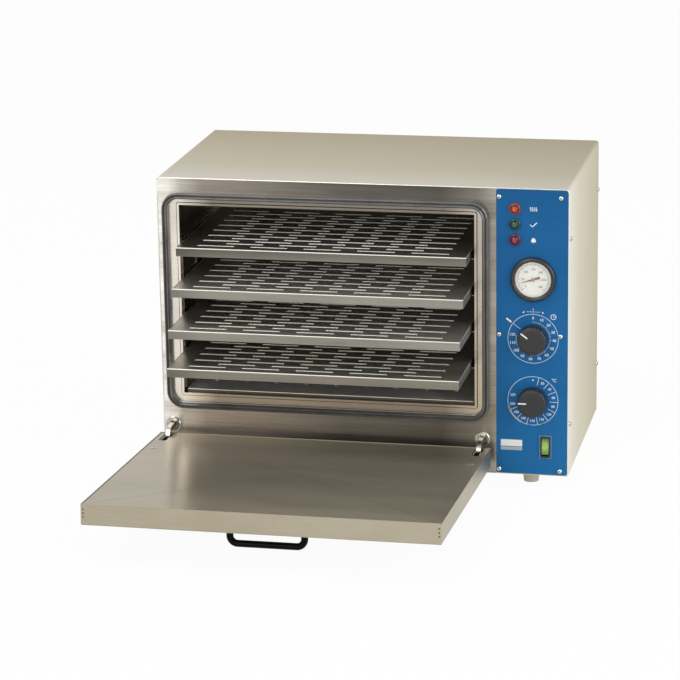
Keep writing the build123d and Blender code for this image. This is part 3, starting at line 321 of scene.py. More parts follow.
def screw_places(node, facing):
    """The middle of every screw head of a CAD node, on the outside of its sheet."""
    whole = bmesh.new()
    whole.from_mesh(nodes[node].data)
    bmesh.ops.remove_doubles(whole, verts=whole.verts, dist=1e-6)
    groups, seen = [], set()
    for start in whole.verts:
        if start in seen:
            continue
        group, edge = [], [start]
        seen.add(start)
        while edge:
            vert = edge.pop()
            group.append(vert.co.copy())
            for link in vert.link_edges:
                other = link.other_vert(vert)
                if other not in seen:
                    seen.add(other)
                    edge.append(other)
        groups.append(group)
    whole.free()
    places = []
    for group in groups:
        low = Vector([min(co[i] for co in group) for i in range(3)])
        high = Vector([max(co[i] for co in group) for i in range(3)])
        middle = (low + high) / 2
        way = Vector(facing(middle))
        top = max(co.dot(way) for co in group)
        places.append((middle + way * (top - middle.dot(way)), way))
    return places


cover_places = screw_places("cover_screws", lambda at: (1 if at.x > 0 else -1, 0, 0))
panel_places = screw_places("panel_screws", lambda at: (0, -1, 0))
inlet_places = screw_places("inlet_screws", lambda at: (0, 1, 0))
dulled_zinc = plated("dulled zinc-plated steel", "#b4b0a2")
for name, places, width, metal in (
    ("cover_screws", cover_places, 7.5, dulled_zinc),
    ("panel_screws", panel_places, 6.3, zinc_plate),
    ("inlet_screws", inlet_places, 6.3, zinc_plate),
):
    seats = [(point - way * (seat_depth * width) * mm, way) for point, way in places]
    heads = repeat(f"{name}_heads", screw_head, seats, metal, "housing",
                   size=width * mm, spin=pi, seed=3)
    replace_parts(heads, name)
    repeat(f"{name}_recesses", cross_recess, seats, painted_recess_shade, "housing",
           size=width * mm, spin=pi, seed=3)

# ---------------------------------------------------------------- front sheet
# The front sheet is thinner stainless steel with its streaks running across. It stays warm
# from the chamber and shows wiped marks. Its colour is painted bright at the left edge and
# darker towards the middle and the right: painted reflection.
sheet_low, sheet_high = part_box("front_plate")
front_steel = stainless(
    "front stainless steel with painted reflection", "#fdfcfa", "#c4c1bd", (14, 900, 900), 0.3, (3, 3, 42), 0.04, 0.12,
    [("X", sheet_low.x, sheet_high.x,
      [(0, "#f8f5f1"), (1, "#aba79f"), (0.03, "#f0ece5"), (0.07, "#beb8ae"), (0.13, "#98918a"),
       (0.28, "#8f887f"), (0.42, "#78736c"), (0.55, "#66625c"), (0.84, "#5c5954"),
       (0.95, "#85817a")])], 0.75)
dress(front_steel, "front_plate")

# The cover's front edge is hemmed; its fold is polished by handling and shines as a line.
def bead(mesh, path, radius, axis, closed=False):
    """Lays a six-sided bead along a path that turns about an axis."""
    rings = []
    for i, point in enumerate(path):
        before = path[i - 1] if i or closed else point
        after = path[(i + 1) % len(path)] if i + 1 < len(path) or closed else point
        way = (after - point).normalized() + (point - before).normalized()
        side = way.normalized().cross(axis)
        rings.append([mesh.verts.new(point + radius * (cos(k * pi / 3) * axis
                                                       + sin(k * pi / 3) * side))
                      for k in range(6)])
    for low, high in zip(rings, rings[1:] + (rings[:1] if closed else [])):
        for k in range(6):
            j = (k + 1) % 6
            mesh.faces.new((low[k], low[j], high[j], high[k]))
    if not closed:
        mesh.faces.new(rings[0][::-1])
        mesh.faces.new(rings[-1])


fold_metal = plated("polished fold", "#f3efe4", 0.35)
hem = bmesh.new()
hem_radius, hem_bend = 0.8 * mm, 4 * mm
left_x, right_x = cover_low.x + hem_radius, cover_high.x - hem_radius
hem_y, hem_top = cover_low.y + 0.5 * mm, cover_high.z - hem_radius
hem_line = [Vector((left_x, hem_y, cover_low.z + 2 * mm))]
for corner_x, start in ((left_x + hem_bend, 180), (right_x - hem_bend, 90)):
    for step in range(5):
        angle = radians(start - 22.5 * step)
        hem_line.append(Vector((corner_x + hem_bend * cos(angle), hem_y,
                                hem_top - hem_bend + hem_bend * sin(angle))))
hem_line.append(Vector((right_x, hem_y, cover_low.z + 2 * mm)))
bead(hem, hem_line, hem_radius, Vector((0, 1, 0)))
finish("cover_hem", hem, fold_metal, "housing")

# ---------------------------------------------------------------- chamber
# The welded chamber liner is bright stainless sheet that heat has tinted straw-brown. Inside
# stand two pressed racks and a perforated floor plate over the heater.
liner_low, liner_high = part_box("chamber_liner")
# Painted reflection and shade: the liner is bright at its edges and front lip, dark inside.
chamber_steel = stainless(
    "heat-tinted stainless steel with painted light and shade", "#f2ede5", "#d9d4cb", (20, 20, 700), 0.24, (6, 6, 14), 0.03,
    tones=[("Y", liner_low.y, liner_low.y + 40 * mm,
            [(0, "#ffffff"), (1, "#e4e3e1"), (0.07, "#f8f5f0"), (0.16, "#c0bbb4")]),
           ("X", liner_low.x, liner_high.x,
            [(0, "#ffffff"), (1, "#dad6d1"), (0.035, "#fffefb"), (0.07, "#e0dcd6"),
             (0.14, "#99958e"), (0.88, "#95908a")])])
dress(chamber_steel, "chamber_liner", "tray_rack_left", "tray_rack_right")
plate_low, plate_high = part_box("floor_plate")
# Painted light lifts the plate to near white under the trays; painted shade darkens its front 3 mm.
plate_steel = stainless(
    "floor plate steel with painted light and shade", "#fffefc", "#f4f2ee", (20, 20, 700), 0.58, (6, 6, 14), 0.03,
    tones=[("Y", plate_low.y, plate_low.y + 3 * mm, [(0, "#6f6b66"), (1, "#ffffff")])])
dress(plate_steel, "floor_plate")
plate_fold = bmesh.new()
fold_radius = 0.75 * mm
bead(plate_fold, [Vector((x, plate_low.y + 0.5 * mm, plate_high.z - 0.5 * mm))
                  for x in (plate_low.x + 2 * mm, plate_high.x - 2 * mm)],
     fold_radius, Vector((0, 0, 1)))
finish("floor_plate_fold", plate_fold, fold_metal, "housing")
heater_sheath = stainless("oxidised heater sheath", "#6b5f55", "#4a423c", (60, 60, 60), 0.55)
dress(heater_sheath, "heating_element")

# The liner's rear corners are closed by welded seams, ground to a bright narrow bead.
seam_metal = plated("ground weld seam", "#fff6e4", 0.45)
seams = bmesh.new()
seam_radius, seam_inset = 2.2 * mm, 1 * mm
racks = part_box("tray_rack_left"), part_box("tray_rack_right")
for side, inner in ((1, racks[0][0].x - 0.3 * mm), (-1, racks[1][1].x + 0.3 * mm)):
    outline = []
    for i in range(7):
        angle = pi / 2 * i / 6
        outline.append((inner + side * seam_radius * (1 - sin(angle)),
                        liner_high.y - seam_inset - seam_radius * (1 - cos(angle))))
    outline.append((inner, liner_high.y - seam_inset))
    low_ring, high_ring = [
        [seams.verts.new((x, y, z)) for x, y in outline]
        for z in (liner_low.z + 60 * mm, liner_high.z - 25 * mm)]
    seams.faces.new(low_ring)
    seams.faces.new(high_ring[::-1])
    for i in range(len(outline)):
        j = (i + 1) % len(outline)
        seams.faces.new((low_ring[i], low_ring[j], high_ring[j], high_ring[i]))
finish("liner_seams", seams, seam_metal, "housing")

# ---------------------------------------------------------------- mineral wool
# The chamber and the door are packed with mineral wool board, straw-coloured and matt. Its
# fibres are too fine to show, so they are drawn as tufts about 2 mm across.
wool, wool_tree, wool_shader, wool_place = blank("mineral wool board")
fibres = add(wool_tree, "ShaderNodeTexNoise", {"Scale": 420, "Detail": 5, "Roughness": 0.7,
                                               "Distortion": 1.4}, {"Vector": wool_place})
wool_colour = add(wool_tree, "ShaderNodeMix", {"data_type": "RGBA", 6: linear("#a99a63"),
                                               7: linear("#ddd09a")}, {0: fibres.outputs["Fac"]})
wool_tree.links.new(wool_colour.outputs[2], wool_shader.inputs["Base Color"])
wool_shader.inputs["Roughness"].default_value = 0.95
wool_relief = add(wool_tree, "ShaderNodeBump", {"Strength": 0.6, "Distance": 0.8 * mm},
                  {"Height": fibres.outputs["Fac"]})
wool_tree.links.new(wool_relief.outputs[0], wool_shader.inputs["Normal"])
dress(wool, "chamber_insulation", "door_insulation")

# ---------------------------------------------------------------- door gasket
# A hollow silicone section runs round the mouth, joined in a ring. It is extruded with two
# rounded lips and a groove between them, so two bright lines follow the ring.
gasket_low, gasket_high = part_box("door_gasket")
gasket_width = 9 * mm
gasket_outer_radius = 24 * mm
gasket_height = gasket_high.y - gasket_low.y
gasket_outline = [(-1, 0), (-1, 0.45), (-0.94, 0.72), (-0.74, 0.92), (-0.45, 1), (-0.16, 0.9),
                  (-0.02, 0.72), (0.12, 0.66), (0.3, 0.76), (0.54, 0.86), (0.8, 0.78),
                  (0.95, 0.58), (1, 0.34), (1, 0)]
gasket = bmesh.new()
gasket_rings = []
middle_x, middle_z = (gasket_low.x + gasket_high.x) / 2, (gasket_low.z + gasket_high.z) / 2
half_x = (gasket_high.x - gasket_low.x) / 2 - gasket_outer_radius
half_z = (gasket_high.z - gasket_low.z) / 2 - gasket_outer_radius
bead_radius = gasket_outer_radius - gasket_width / 2
for corner, (sx, sz) in enumerate(((1, 1), (-1, 1), (-1, -1), (1, -1))):
    for step in range(13):
        angle = (corner + step / 12) * pi / 2
        outward = Vector((cos(angle), 0, sin(angle)))
        at = Vector((middle_x + sx * half_x, gasket_high.y, middle_z + sz * half_z))
        ring = []
        for across, rise in gasket_outline:
            point = at + outward * (bead_radius + across * gasket_width / 2)
            ring.append(gasket.verts.new(point - Vector((0, rise * gasket_height, 0))))
        gasket_rings.append(ring)
for ring, following in zip(gasket_rings, gasket_rings[1:] + gasket_rings[:1]):
    count = len(gasket_outline)
    for i in range(count):
        j = (i + 1) % count
        gasket.faces.new((ring[i], ring[j], following[j], following[i]))
silicone, silicone_tree, silicone_shader, silicone_place = blank("extruded grey silicone")
bloom = add(silicone_tree, "ShaderNodeTexNoise", {"Scale": 26, "Detail": 3},
            {"Vector": silicone_place})
silicone_colour = add(silicone_tree, "ShaderNodeMix",
                      {"data_type": "RGBA", 6: linear("#403f3f"), 7: linear("#6d6c69")},
                      {0: bloom.outputs["Fac"]})
silicone_tree.links.new(silicone_colour.outputs[2], silicone_shader.inputs["Base Color"])
silicone_shader.inputs["Roughness"].default_value = 0.18
silicone_shader.inputs["Coat Weight"].default_value = 0.5
silicone_shader.inputs["Coat Roughness"].default_value = 0.15
door_seal = finish("door_seal", gasket, silicone, "housing", 60)
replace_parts(door_seal, "door_gasket")

# ---------------------------------------------------------------- trays
# Each tray is one aluminium sheet, punched with rows of slots, every other row set off by
# half a pitch, and folded down all round. The punch left a bright burr round every slot, and
# it stands highest along the slot's rear edge.
trays_low, trays_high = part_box("tray_4")[0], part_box("tray_1")[1]
tone_margin = 0.5 * mm
# Painted shade: the top tray, the bottom tray and the trays' left ends are darker.
tray_metal = stainless(
    "mill-finish aluminium with painted light and shade", "#bab8b0", "#a19f97", (16, 500, 500), 0.45, (5, 12, 12), 0.04,
    tones=[("Z", trays_low.z - tone_margin, trays_high.z,
            [(0, "#e6e4df"), (1, "#bab9b4"), (0.33, "#ffffff"), (0.85, "#fbfaf7")]),
           ("X", trays_low.x - tone_margin, trays_high.x + tone_margin,
            [(0, "#cfcecb"), (1, "#ffffff"), (0.12, "#f2f1ee")])])


def tint(metal, factor):
    """Multiplies a metal's colour by a factor that changes over its surface."""
    tree = metal.node_tree
    colour = tree.nodes["Principled BSDF"].inputs["Base Color"]
    tinted = add(tree, "ShaderNodeMix",
                 {"data_type": "RGBA", "blend_type": "MULTIPLY", "Factor": 1},
                 {6: colour.links[0].from_socket, 7: factor})
    tree.links.new(tinted.outputs[2], colour)


# Painted light: the trays' tops, which face up, are brighter than their rims.
tray_tree = tray_metal.node_tree
facing = add(tray_tree, "ShaderNodeSeparateXYZ",
             links={0: add(tray_tree, "ShaderNodeNewGeometry").outputs["Normal"]})
painted_top_light = add(tray_tree, "ShaderNodeMapRange", {"From Min": 0.3, "From Max": 0.9, "To Min": 0.74},
               {"Value": facing.outputs[2]})
tint(tray_metal, painted_top_light.outputs[0])
burr_metal = plated("bright punched edge", "#e4e2da", 0.4)
slot_length, slot_width = 50, 3.5
slot_pitch, row_pitch = 73, 14.5
burr_width, burr_height = 0.25, 0.32


def punched_edge(name, length, width):
    """The burr round a punched hole, given in millimetres: a ring of four low edges."""
    burr = bmesh.new()
    loops = []
    for grow, height in ((-0.1, -0.3), (-0.1, 0.3), (0.1, burr_height), (burr_width, 0.1),
                         (burr_width, -0.3)):
        half_long, rear, front = length / 2 + grow, width / 2 + grow, width / 2 + grow / 4
        loops.append([burr.verts.new((x, y, height if y > 0 else min(height, 0.1)))
                      for x, y in ((half_long, rear), (-half_long, rear),
                                   (-half_long, -front), (half_long, -front))])
    for low, high in zip(loops, loops[1:] + loops[:1]):
        for i in range(4):
            j = (i + 1) % 4
            burr.faces.new((low[i], low[j], high[j], high[i]))
    return template(name, burr)


slot_burr = punched_edge("slot burr", slot_length, slot_width)
for number in range(1, 5):
    name = f"tray_{number}"
    dress(tray_metal, name)
    low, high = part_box(name)
    across = (low.x + high.x) / 2
    along = (low.y + high.y) / 2
    places = []
    for row in range(-7, 8):
        shift, columns = (0, 5) if row % 2 else (slot_pitch / 2, 4)
        for column in range(columns):
            x = across + (column - 2) * slot_pitch * mm + shift * mm
            places.append((Vector((x, along + row * row_pitch * mm, high.z)), (0, 0, 1)))
    repeat(f"{name}_burrs", slot_burr, places, burr_metal, name, size=mm)
    fold = bmesh.new()
    inset = 0.4 * mm
    bead(fold, [Vector((x, y, high.z - inset)) for x, y in (
        (low.x + inset, low.y + inset), (high.x - inset, low.y + inset),
        (high.x - inset, high.y - inset), (low.x + inset, high.y - inset))],
        fold_radius, Vector((0, 0, 1)), closed=True)
    finish(f"{name}_fold", fold, fold_metal, name)

# The floor plate's square holes have the same bright edges.
hole_pitch = 42
hole_burr = punched_edge("hole burr", 5, 5)
hole_places = [
    (Vector(((plate_low.x + plate_high.x) / 2 + column * hole_pitch * mm,
             (plate_low.y + plate_high.y) / 2 + row * hole_pitch * mm, plate_high.z)), (0, 0, 1))
    for column in range(-4, 5) for row in range(-2, 3)]
repeat("floor_hole_burrs", hole_burr, hole_places, burr_metal, "housing", size=mm)

# ---------------------------------------------------------------- door
# The door is a deep pan closed with an inner sheet that is cross-broken: four shallow facets
# meet in its middle and keep it stiff. Both are stainless; cleaning has smeared the inside.
door_steel = stainless("wiped stainless steel", "#b2aa99", "#9f9787", (22, 700, 700), 0.31,
                       (2, 7, 7), 0.04, 0.06, smear=0.78)
inner_low, inner_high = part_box("door_inner_sheet")
door_tree = door_steel.node_tree
door_split = add(door_tree, "ShaderNodeSeparateXYZ",
                 links={0: add(door_tree, "ShaderNodeTexCoord").outputs["Object"]})
out_along = []
for axis in (0, 1):
    share = add(door_tree, "ShaderNodeMapRange",
                {"From Min": inner_low[axis], "From Max": inner_high[axis], "To Min": -1},
                {"Value": door_split.outputs[axis]})
    out_along.append(add(door_tree, "ShaderNodeMath", {"operation": "ABSOLUTE"},
                         {0: share.outputs[0]}).outputs[0])
gap = add(door_tree, "ShaderNodeMath", {"operation": "SUBTRACT"},
          {0: out_along[0], 1: out_along[1]})
# A crease is a line about 7 mm wide, painted darker: painted shade along the creases.
from_crease = add(door_tree, "ShaderNodeMath", {"operation": "ABSOLUTE"}, {0: gap.outputs[0]})
painted_crease_shade = add(door_tree, "ShaderNodeMapRange", {"From Max": 0.025, "To Min": 0.86, "To Max": 1},
             {"Value": from_crease.outputs[0]})
tint(door_steel, painted_crease_shade.outputs[0])
dress(door_steel, "door_inner_sheet")
pan_steel = stainless("folded stainless steel", "#b2aa96", "#a59d87", (18, 700, 700), 0.4,
                      spread=0.04)
dress(pan_steel, "door_outer_pan")
weld = bmesh.new()
turn_outline(weld, [(0, -0.1), (0.5, -0.1), (0.5, 0.02), (0.4, 0.07), (0.25, 0.03), (0, 0.02)], 16)
spot_weld = template("spot weld", weld)
weld_metal = plated("tarnished spot weld", "#6f6557", 0.5)
pan_low, pan_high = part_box("door_outer_pan")
pan_tilt = radians(3.74)
weld_way = Vector((0, -cos(pan_tilt), sin(pan_tilt)))
weld_down = Vector((0, -sin(pan_tilt), -cos(pan_tilt)))
pan_points = [v.co for v in nodes["door_outer_pan"].data.vertices]
front_reach = max(co.dot(weld_way) for co in pan_points)
front_rise = max(co.dot(-weld_down) for co in pan_points if co.dot(weld_way) > front_reach - mm)
weld_places = []
for x in (pan_low.x + 3 * mm, pan_high.x - 3 * mm):
    for drop in (7, 12, 17):
        at = weld_way * front_reach - weld_down * (front_rise - drop * mm)
        weld_places.append((Vector((x, at.y, at.z)), weld_way))
repeat("door_spot_welds", spot_weld, weld_places, weld_metal, "door", size=2.6 * mm)

# The handle is a round rod in a smooth black plastic coat, which shines softly.
handle_black, handle_tree, handle_shader, handle_place = blank("black plastic-coated rod")
handle_shader.inputs["Base Color"].default_value = linear("#08080a")
handle_shader.inputs["Specular IOR Level"].default_value = 0.07
orange_peel = add(handle_tree, "ShaderNodeTexNoise", {"Scale": 700, "Detail": 2},
                  {"Vector": handle_place})
handle_relief = add(handle_tree, "ShaderNodeBump", {"Strength": 0.25, "Distance": 0.2 * mm},
                    {"Height": orange_peel.outputs["Fac"]})
handle_tree.links.new(handle_relief.outputs[0], handle_shader.inputs["Normal"])
handle_sheen = add(handle_tree, "ShaderNodeMapRange", {"To Min": 0.2, "To Max": 0.35},
                   {"Value": orange_peel.outputs["Fac"]})
handle_tree.links.new(handle_sheen.outputs[0], handle_shader.inputs["Roughness"])
dress(handle_black, "door_handle")

# ---------------------------------------------------------------- hinges
# Bent steel arms reach out of round collars in the front sheet and into slots in the door,
# where riveted brackets turn on pins. All of them are bright zinc-plated steel.
hinge_steel = plated("polished hinge steel", "#b8b5ad", 0.24)
dress(hinge_steel, "hinge_arms", "hinge_brackets", "hinge_pins", "bracket_rivets", "hinge_collars",
      "handle_screws", "timer_shaft", "thermostat_shaft", "thermometer_case", "inlet_pins")
copper = plated("drawn copper tube", "#c88a62", 0.3)
dress(copper, "thermometer_sensor", "thermostat_sensor")

# ---------------------------------------------------------------- control panel
# The control panel is a steel plate with rounded corners, stove-enamelled blue. The enamel is
# semi-gloss with a faint orange peel, and its marks are printed in white.
enamel, enamel_tree, enamel_shader, enamel_place = blank("blue stove enamel")
enamel_haze = add(enamel_tree, "ShaderNodeTexNoise", {"Scale": 14, "Detail": 4, "Roughness": 0.6},
                  {"Vector": enamel_place})
panel_low, panel_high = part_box("control_panel")
enamel_split = add(enamel_tree, "ShaderNodeSeparateXYZ", links={0: enamel_place})
# Painted light: the enamel is lighter towards the bottom and darker towards the top.
enamel_painted_light = add(enamel_tree, "ShaderNodeMapRange",
                  {"From Min": panel_low.z, "From Max": panel_high.z, "To Min": 0.55,
                   "To Max": -0.35}, {"Value": enamel_split.outputs[2]})
enamel_tone = add(enamel_tree, "ShaderNodeMath", {"operation": "ADD"},
                  {0: enamel_haze.outputs["Fac"], 1: enamel_painted_light.outputs[0]})
enamel_colour = add(enamel_tree, "ShaderNodeMix",
                    {"data_type": "RGBA", 6: linear("#10548a"), 7: linear("#1b66a0")},
                    {0: enamel_tone.outputs[0]})
enamel_tree.links.new(enamel_colour.outputs[2], enamel_shader.inputs["Base Color"])
enamel_shader.inputs["Roughness"].default_value = 0.5
enamel_shader.inputs["Specular IOR Level"].default_value = 0.15
peel = add(enamel_tree, "ShaderNodeTexNoise", {"Scale": 600, "Detail": 2}, {"Vector": enamel_place})
enamel_relief = add(enamel_tree, "ShaderNodeBump", {"Strength": 0.12, "Distance": 0.2 * mm},
                    {"Height": peel.outputs["Fac"]})
enamel_tree.links.new(enamel_relief.outputs[0], enamel_shader.inputs["Normal"])
dress(enamel, "control_panel")


def knob_middle(name):
    """The middle of a round piece on the panel."""
    low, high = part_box(name)
    return (low.x + high.x) / 2, (low.z + high.z) / 2


# ---------------------------------------------------------------- printed marks
# White screen print on the enamel: the knobs' rings, scales and signs. The ink is a few
# hundredths of a millimetre thick, drawn a little thicker so that it stands off the enamel.
ink_height = 0.08 * mm
panel_face = panel_low.y


def printing_ink(name, colour):
    """Matt screen-printing ink, a little uneven where the mesh of the screen dragged it."""
    surface, tree, shader, place = blank(name)
    drag = add(tree, "ShaderNodeTexNoise", {"Scale": 900, "Detail": 1}, {"Vector": place})
    shade = add(tree, "ShaderNodeMix", {"data_type": "RGBA", 6: linear(colour),
                                        7: tuple(0.85 * c for c in linear(colour)[:3]) + (1,)},
                {0: drag.outputs["Fac"]})
    tree.links.new(shade.outputs[2], shader.inputs["Base Color"])
    shader.inputs["Roughness"].default_value = 0.6
    return surface


def printed(mesh, outline, face=panel_face, rise=ink_height):
    """Adds a flat printed shape, given by (x, z) points in metres, to the front of a face."""
    back = [mesh.verts.new((x, face, z)) for x, z in outline]
    fore = [mesh.verts.new((x, face - rise, z)) for x, z in outline]
    mesh.faces.new(fore)
    mesh.faces.new(back[::-1])
    for i in range(len(outline)):
        j = (i + 1) % len(outline)
        mesh.faces.new((back[i], back[j], fore[j], fore[i]))


def stroke(mesh, line, width, face=panel_face):
    """Prints a line, its width in millimetres, through (x, z) points in metres."""
    left, back = [], []
    for i, point in enumerate(line):
        before = Vector(line[max(i - 1, 0)])
        after = Vector(line[min(i + 1, len(line) - 1)])
        way = (after - before).normalized()
        side = Vector((-way.y, way.x)) * (width * mm) / 2
        left.append(tuple(Vector(point) + side))
        back.append(tuple(Vector(point) - side))
    for i in range(len(line) - 1):
        printed(mesh, (left[i], left[i + 1], back[i + 1], back[i]), face)


def arc(center, radius, start, end, steps):
    """Points on an arc, its radius in millimetres, its angles clockwise from the top."""
    points = []
    for i in range(steps + 1):
        angle = radians(start + (end - start) * i / steps)
        points.append((center[0] + radius * mm * sin(angle), center[1] + radius * mm * cos(angle)))
    return points


def spoke(center, angle, *reaches):
    """Points in one direction from a dial's middle, at distances in millimetres."""
    return [arc(center, reach, angle, angle, 1)[0] for reach in reaches]


def around(center, *steps):
    """Points at (across, up) steps in millimetres from a middle."""
    return [(center[0] + x * mm, center[1] + z * mm) for x, z in steps]


def numeral(mesh, text, height, at, face=panel_face):
    """Prints a number, its height in millimetres, with its middle at a point."""
    # The font's digits are 0.7 of its size high, and the ink spreads each stroke a little.
    size_for_height, spread = 1.35, 0.012
    words = bpy.data.curves.new("number", "FONT")
    words.body = text
    words.size = height * mm * size_for_height
    words.align_x = "CENTER"
    words.align_y = "CENTER"
    words.offset = height * mm * spread
    words.extrude = ink_height / 2
    words.resolution_u = 3
    word = bpy.data.objects.new("number", words)
    bpy.context.scene.collection.objects.link(word)
    bpy.context.view_layer.update()
    flat = bpy.data.meshes.new_from_object(word.evaluated_get(
        bpy.context.evaluated_depsgraph_get()))
    flat.transform(Matrix.Translation((at[0], face - ink_height / 2, at[1]))
                   @ Matrix.Rotation(pi / 2, 4, "X"))
    mesh.from_mesh(flat)
    bpy.data.objects.remove(word)
    bpy.data.meshes.remove(flat)


white_ink = printing_ink("white printing ink", "#f2f5f6")
blue_ink = printing_ink("pale blue printing ink", "#b9d6ee")
timer = knob_middle("timer_knob")
thermostat = knob_middle("thermostat_knob")
ring_radius = 33.8
rings = bmesh.new()
for middle in (timer, thermostat):
    stroke(rings, arc(middle, ring_radius, 0, 360, 96), 0.8)
finish("dial_rings", rings, blue_ink, "housing")

# The timer's scale has 120 minutes over 280 degrees, a mark at 307 degrees, and arrows.
marks = bmesh.new()
timer_sweep, hold_mark = 280, 307
for i in range(13):
    numeral(marks, str(10 * i), 3.9, spoke(timer, timer_sweep * i / 12, 28.4)[0])
for i in range(61):
    tick = 1.6 if i % 5 else 2.6
    stroke(marks, spoke(timer, timer_sweep * i / 60, 22, 22 + tick), 0.4)
stroke(marks, spoke(timer, hold_mark, 36.5, 45), 2)
stroke(marks, spoke(timer, hold_mark, 21.5, 33), 0.5)
stroke(marks, around(timer, (0, 35), (0, 42)), 0.5)
for side in (-1, 1):
    stroke(marks, around(timer, (2 * side, 37), (9 * side, 37)), 0.4)
    printed(marks, around(timer, (12 * side, 38.2), (12 * side, 35.6), (14.5 * side, 35)))

# The thermostat's scale has a zero dot, numbers from 20 to 220 and a thick working range.
thermostat_pitch = 25.8
printed(marks, arc(around(thermostat, (0, 29))[0], 1, 0, 330, 11))
for i in range(11):
    numeral(marks, str(20 * (i + 1)), 3.5, spoke(thermostat, 27 + thermostat_pitch * i, 28)[0])
for i in range(10):
    stroke(marks, spoke(thermostat, 14 + thermostat_pitch * i, 22.5, ring_radius), 0.6)
stroke(marks, arc(thermostat, ring_radius, 208, 256, 16), 1.9)

# Signs in place of words: a clock, degrees Celsius, heat waves, a tick and a bell.
clock = (panel_low.x + 76.5 * mm, timer[1] + 31 * mm)
stroke(marks, arc(clock, 3.4, 0, 360, 28), 0.8)
stroke(marks, around(clock, (0, 2.2), (0, 0), (1.7, 0)), 0.7)
numeral(marks, "°C", 4.4, (panel_low.x + 77.5 * mm, thermostat[1] + 29.5 * mm))
lamp_names = ("heating_lamp_lens", "ready_lamp_lens", "alarm_lamp_lens")
heat, ready, alarm = ((panel_low.x + 49.5 * mm, knob_middle(name)[1]) for name in lamp_names)
for i in range(4):
    stroke(marks, around(heat, *((2.6 * i - 3.9 + 0.7 * sin(step * pi / 4), step * 0.7 - 2.8)
                                 for step in range(9))), 0.9)
stroke(marks, around(ready, (-4.5, 0), (-1.5, -2.8), (4.5, 3)), 1.2)
printed(marks, arc(around(alarm, (0, 0.3))[0], 2.7, -90, 90, 12)
        + around(alarm, (2.9, -1.6), (4, -2.4), (-4, -2.4), (-2.9, -1.6)))
stroke(marks, around(alarm, (-1, -3.3), (1, -3.3)), 0.8)
finish("printed_marks", marks, white_ink, "housing")

# ---------------------------------------------------------------- blank badge
# A blank two-tone foil badge is stuck to the panel's lower left: a white field over a
# narrower grey one, both left without print.
badge_corner = (panel_low.x + 6 * mm, panel_low.z + 47.5 * mm)
badge_width, foil_height = 29, 0.3 * mm
for name, top, bottom, foil in (
    ("badge_field", 0, -9, printing_ink("matt white foil", "#eceeee")),
    ("badge_band", -9.8, -14.6, printing_ink("matt grey foil", "#aab4bd")),
):
    field = bmesh.new()
    printed(field, around(badge_corner, (0, top), (0, bottom), (badge_width, bottom),
                          (badge_width, top)), rise=foil_height)
    finish(name, field, foil, "housing")


# ---------------------------------------------------------------- timer and thermostat knobs
# The knobs are moulded in black thermoset plastic with twelve shallow flutes. Their tops are
# slightly dished, and a white line runs across each almost to the rim.
def moulded(name, colour, roughness, grit=900, relief=0.2):
    """Moulded plastic with the fine texture of its tool, one or two millimetres across."""
    surface, tree, shader, place = blank(name)
    shader.inputs["Base Color"].default_value = linear(colour)
    texture = add(tree, "ShaderNodeTexNoise", {"Scale": grit, "Detail": 3}, {"Vector": place})
    sheen = add(tree, "ShaderNodeMapRange",
                {"To Min": roughness - 0.08, "To Max": roughness + 0.08},
                {"Value": texture.outputs["Fac"]})
    tree.links.new(sheen.outputs[0], shader.inputs["Roughness"])
    skin = add(tree, "ShaderNodeBump", {"Strength": relief, "Distance": 0.15 * mm},
               {"Height": texture.outputs["Fac"]})
    tree.links.new(skin.outputs[0], shader.inputs["Normal"])
    return surface


def turned(outline, sides, x, y, z, shape=None):
    """A turned piece, its outline in millimetres, that faces the front from a point."""
    mesh = bmesh.new()
    turn_outline(mesh, [(r * mm, h * mm) for r, h in outline], sides, shape)
    upright = Matrix.Translation((x, y, z)) @ Matrix.Rotation(pi / 2, 4, "X")
    bmesh.ops.transform(mesh, matrix=upright, verts=mesh.verts)
    return mesh


knob_black = moulded("black thermoset moulding", "#232326", 0.45)
dress(knob_black, "rocker_frame", "mains_inlet", "terminal_block", "timer_case", "thermostat_case")


def knob_shape(angle, step):
    """Twelve flutes, which run out in the skirt and over the rounded rim."""
    depth = (0, 0, 0, 0, 0.02, 0.034, 0.034, 0.034, 0.028, 0.012, 0, 0)[step]
    flute = max(0.0, cos(12 * angle)) ** 3
    return 1 - depth * flute


knob_outline = [(0, 0), (19.2, 0), (19.7, 0.5), (19.7, 3), (19.7, 4), (19.7, 5.2), (19.6, 9),
                (19.4, 13), (18.9, 14.3), (17.8, 15), (12, 14.9), (0, 14.8)]
for name, body, pointer_angle in (
    ("timer_knob", "timer_dial", 143),
    ("thermostat_knob", "thermostat_dial", 180),
):
    low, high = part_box(name)
    middle = knob_middle(name)
    knob = turned(knob_outline, 144, middle[0], high.y, middle[1], knob_shape)
    moulding = finish(f"{name}_moulding", knob, knob_black, body, 40)
    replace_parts(moulding, name)
    line = bmesh.new()
    stroke(line, spoke(middle, 90 - pointer_angle, 7, 18), 1.9, low.y + 0.05 * mm)
    finish(f"{name}_line", line, white_ink, body)

# ---------------------------------------------------------------- thermometer
# A capillary thermometer in a black-enamelled bezel, its white dial printed in black from 0
# to 300 over three quarters of a turn, with a dark steel needle behind clear glass.
gauge = knob_middle("thermometer_bezel")
bezel_black = moulded("black enamelled brass", "#26262a", 0.28, 500, 0.08)
bezel_outline = [(26.2, 0), (30.2, 0), (30.4, 1.2), (30.2, 3.2), (29.2, 5.2), (27.6, 6),
                 (26, 5.8), (24.6, 4.6), (24, 3.2), (24, 2.8), (26.2, 2.6), (26.2, 0)]
bezel = turned(bezel_outline, 96, gauge[0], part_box("thermometer_bezel")[1].y, gauge[1])
bezel_ring = finish("thermometer_rim", bezel, bezel_black, "housing", 40)
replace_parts(bezel_ring, "thermometer_bezel")

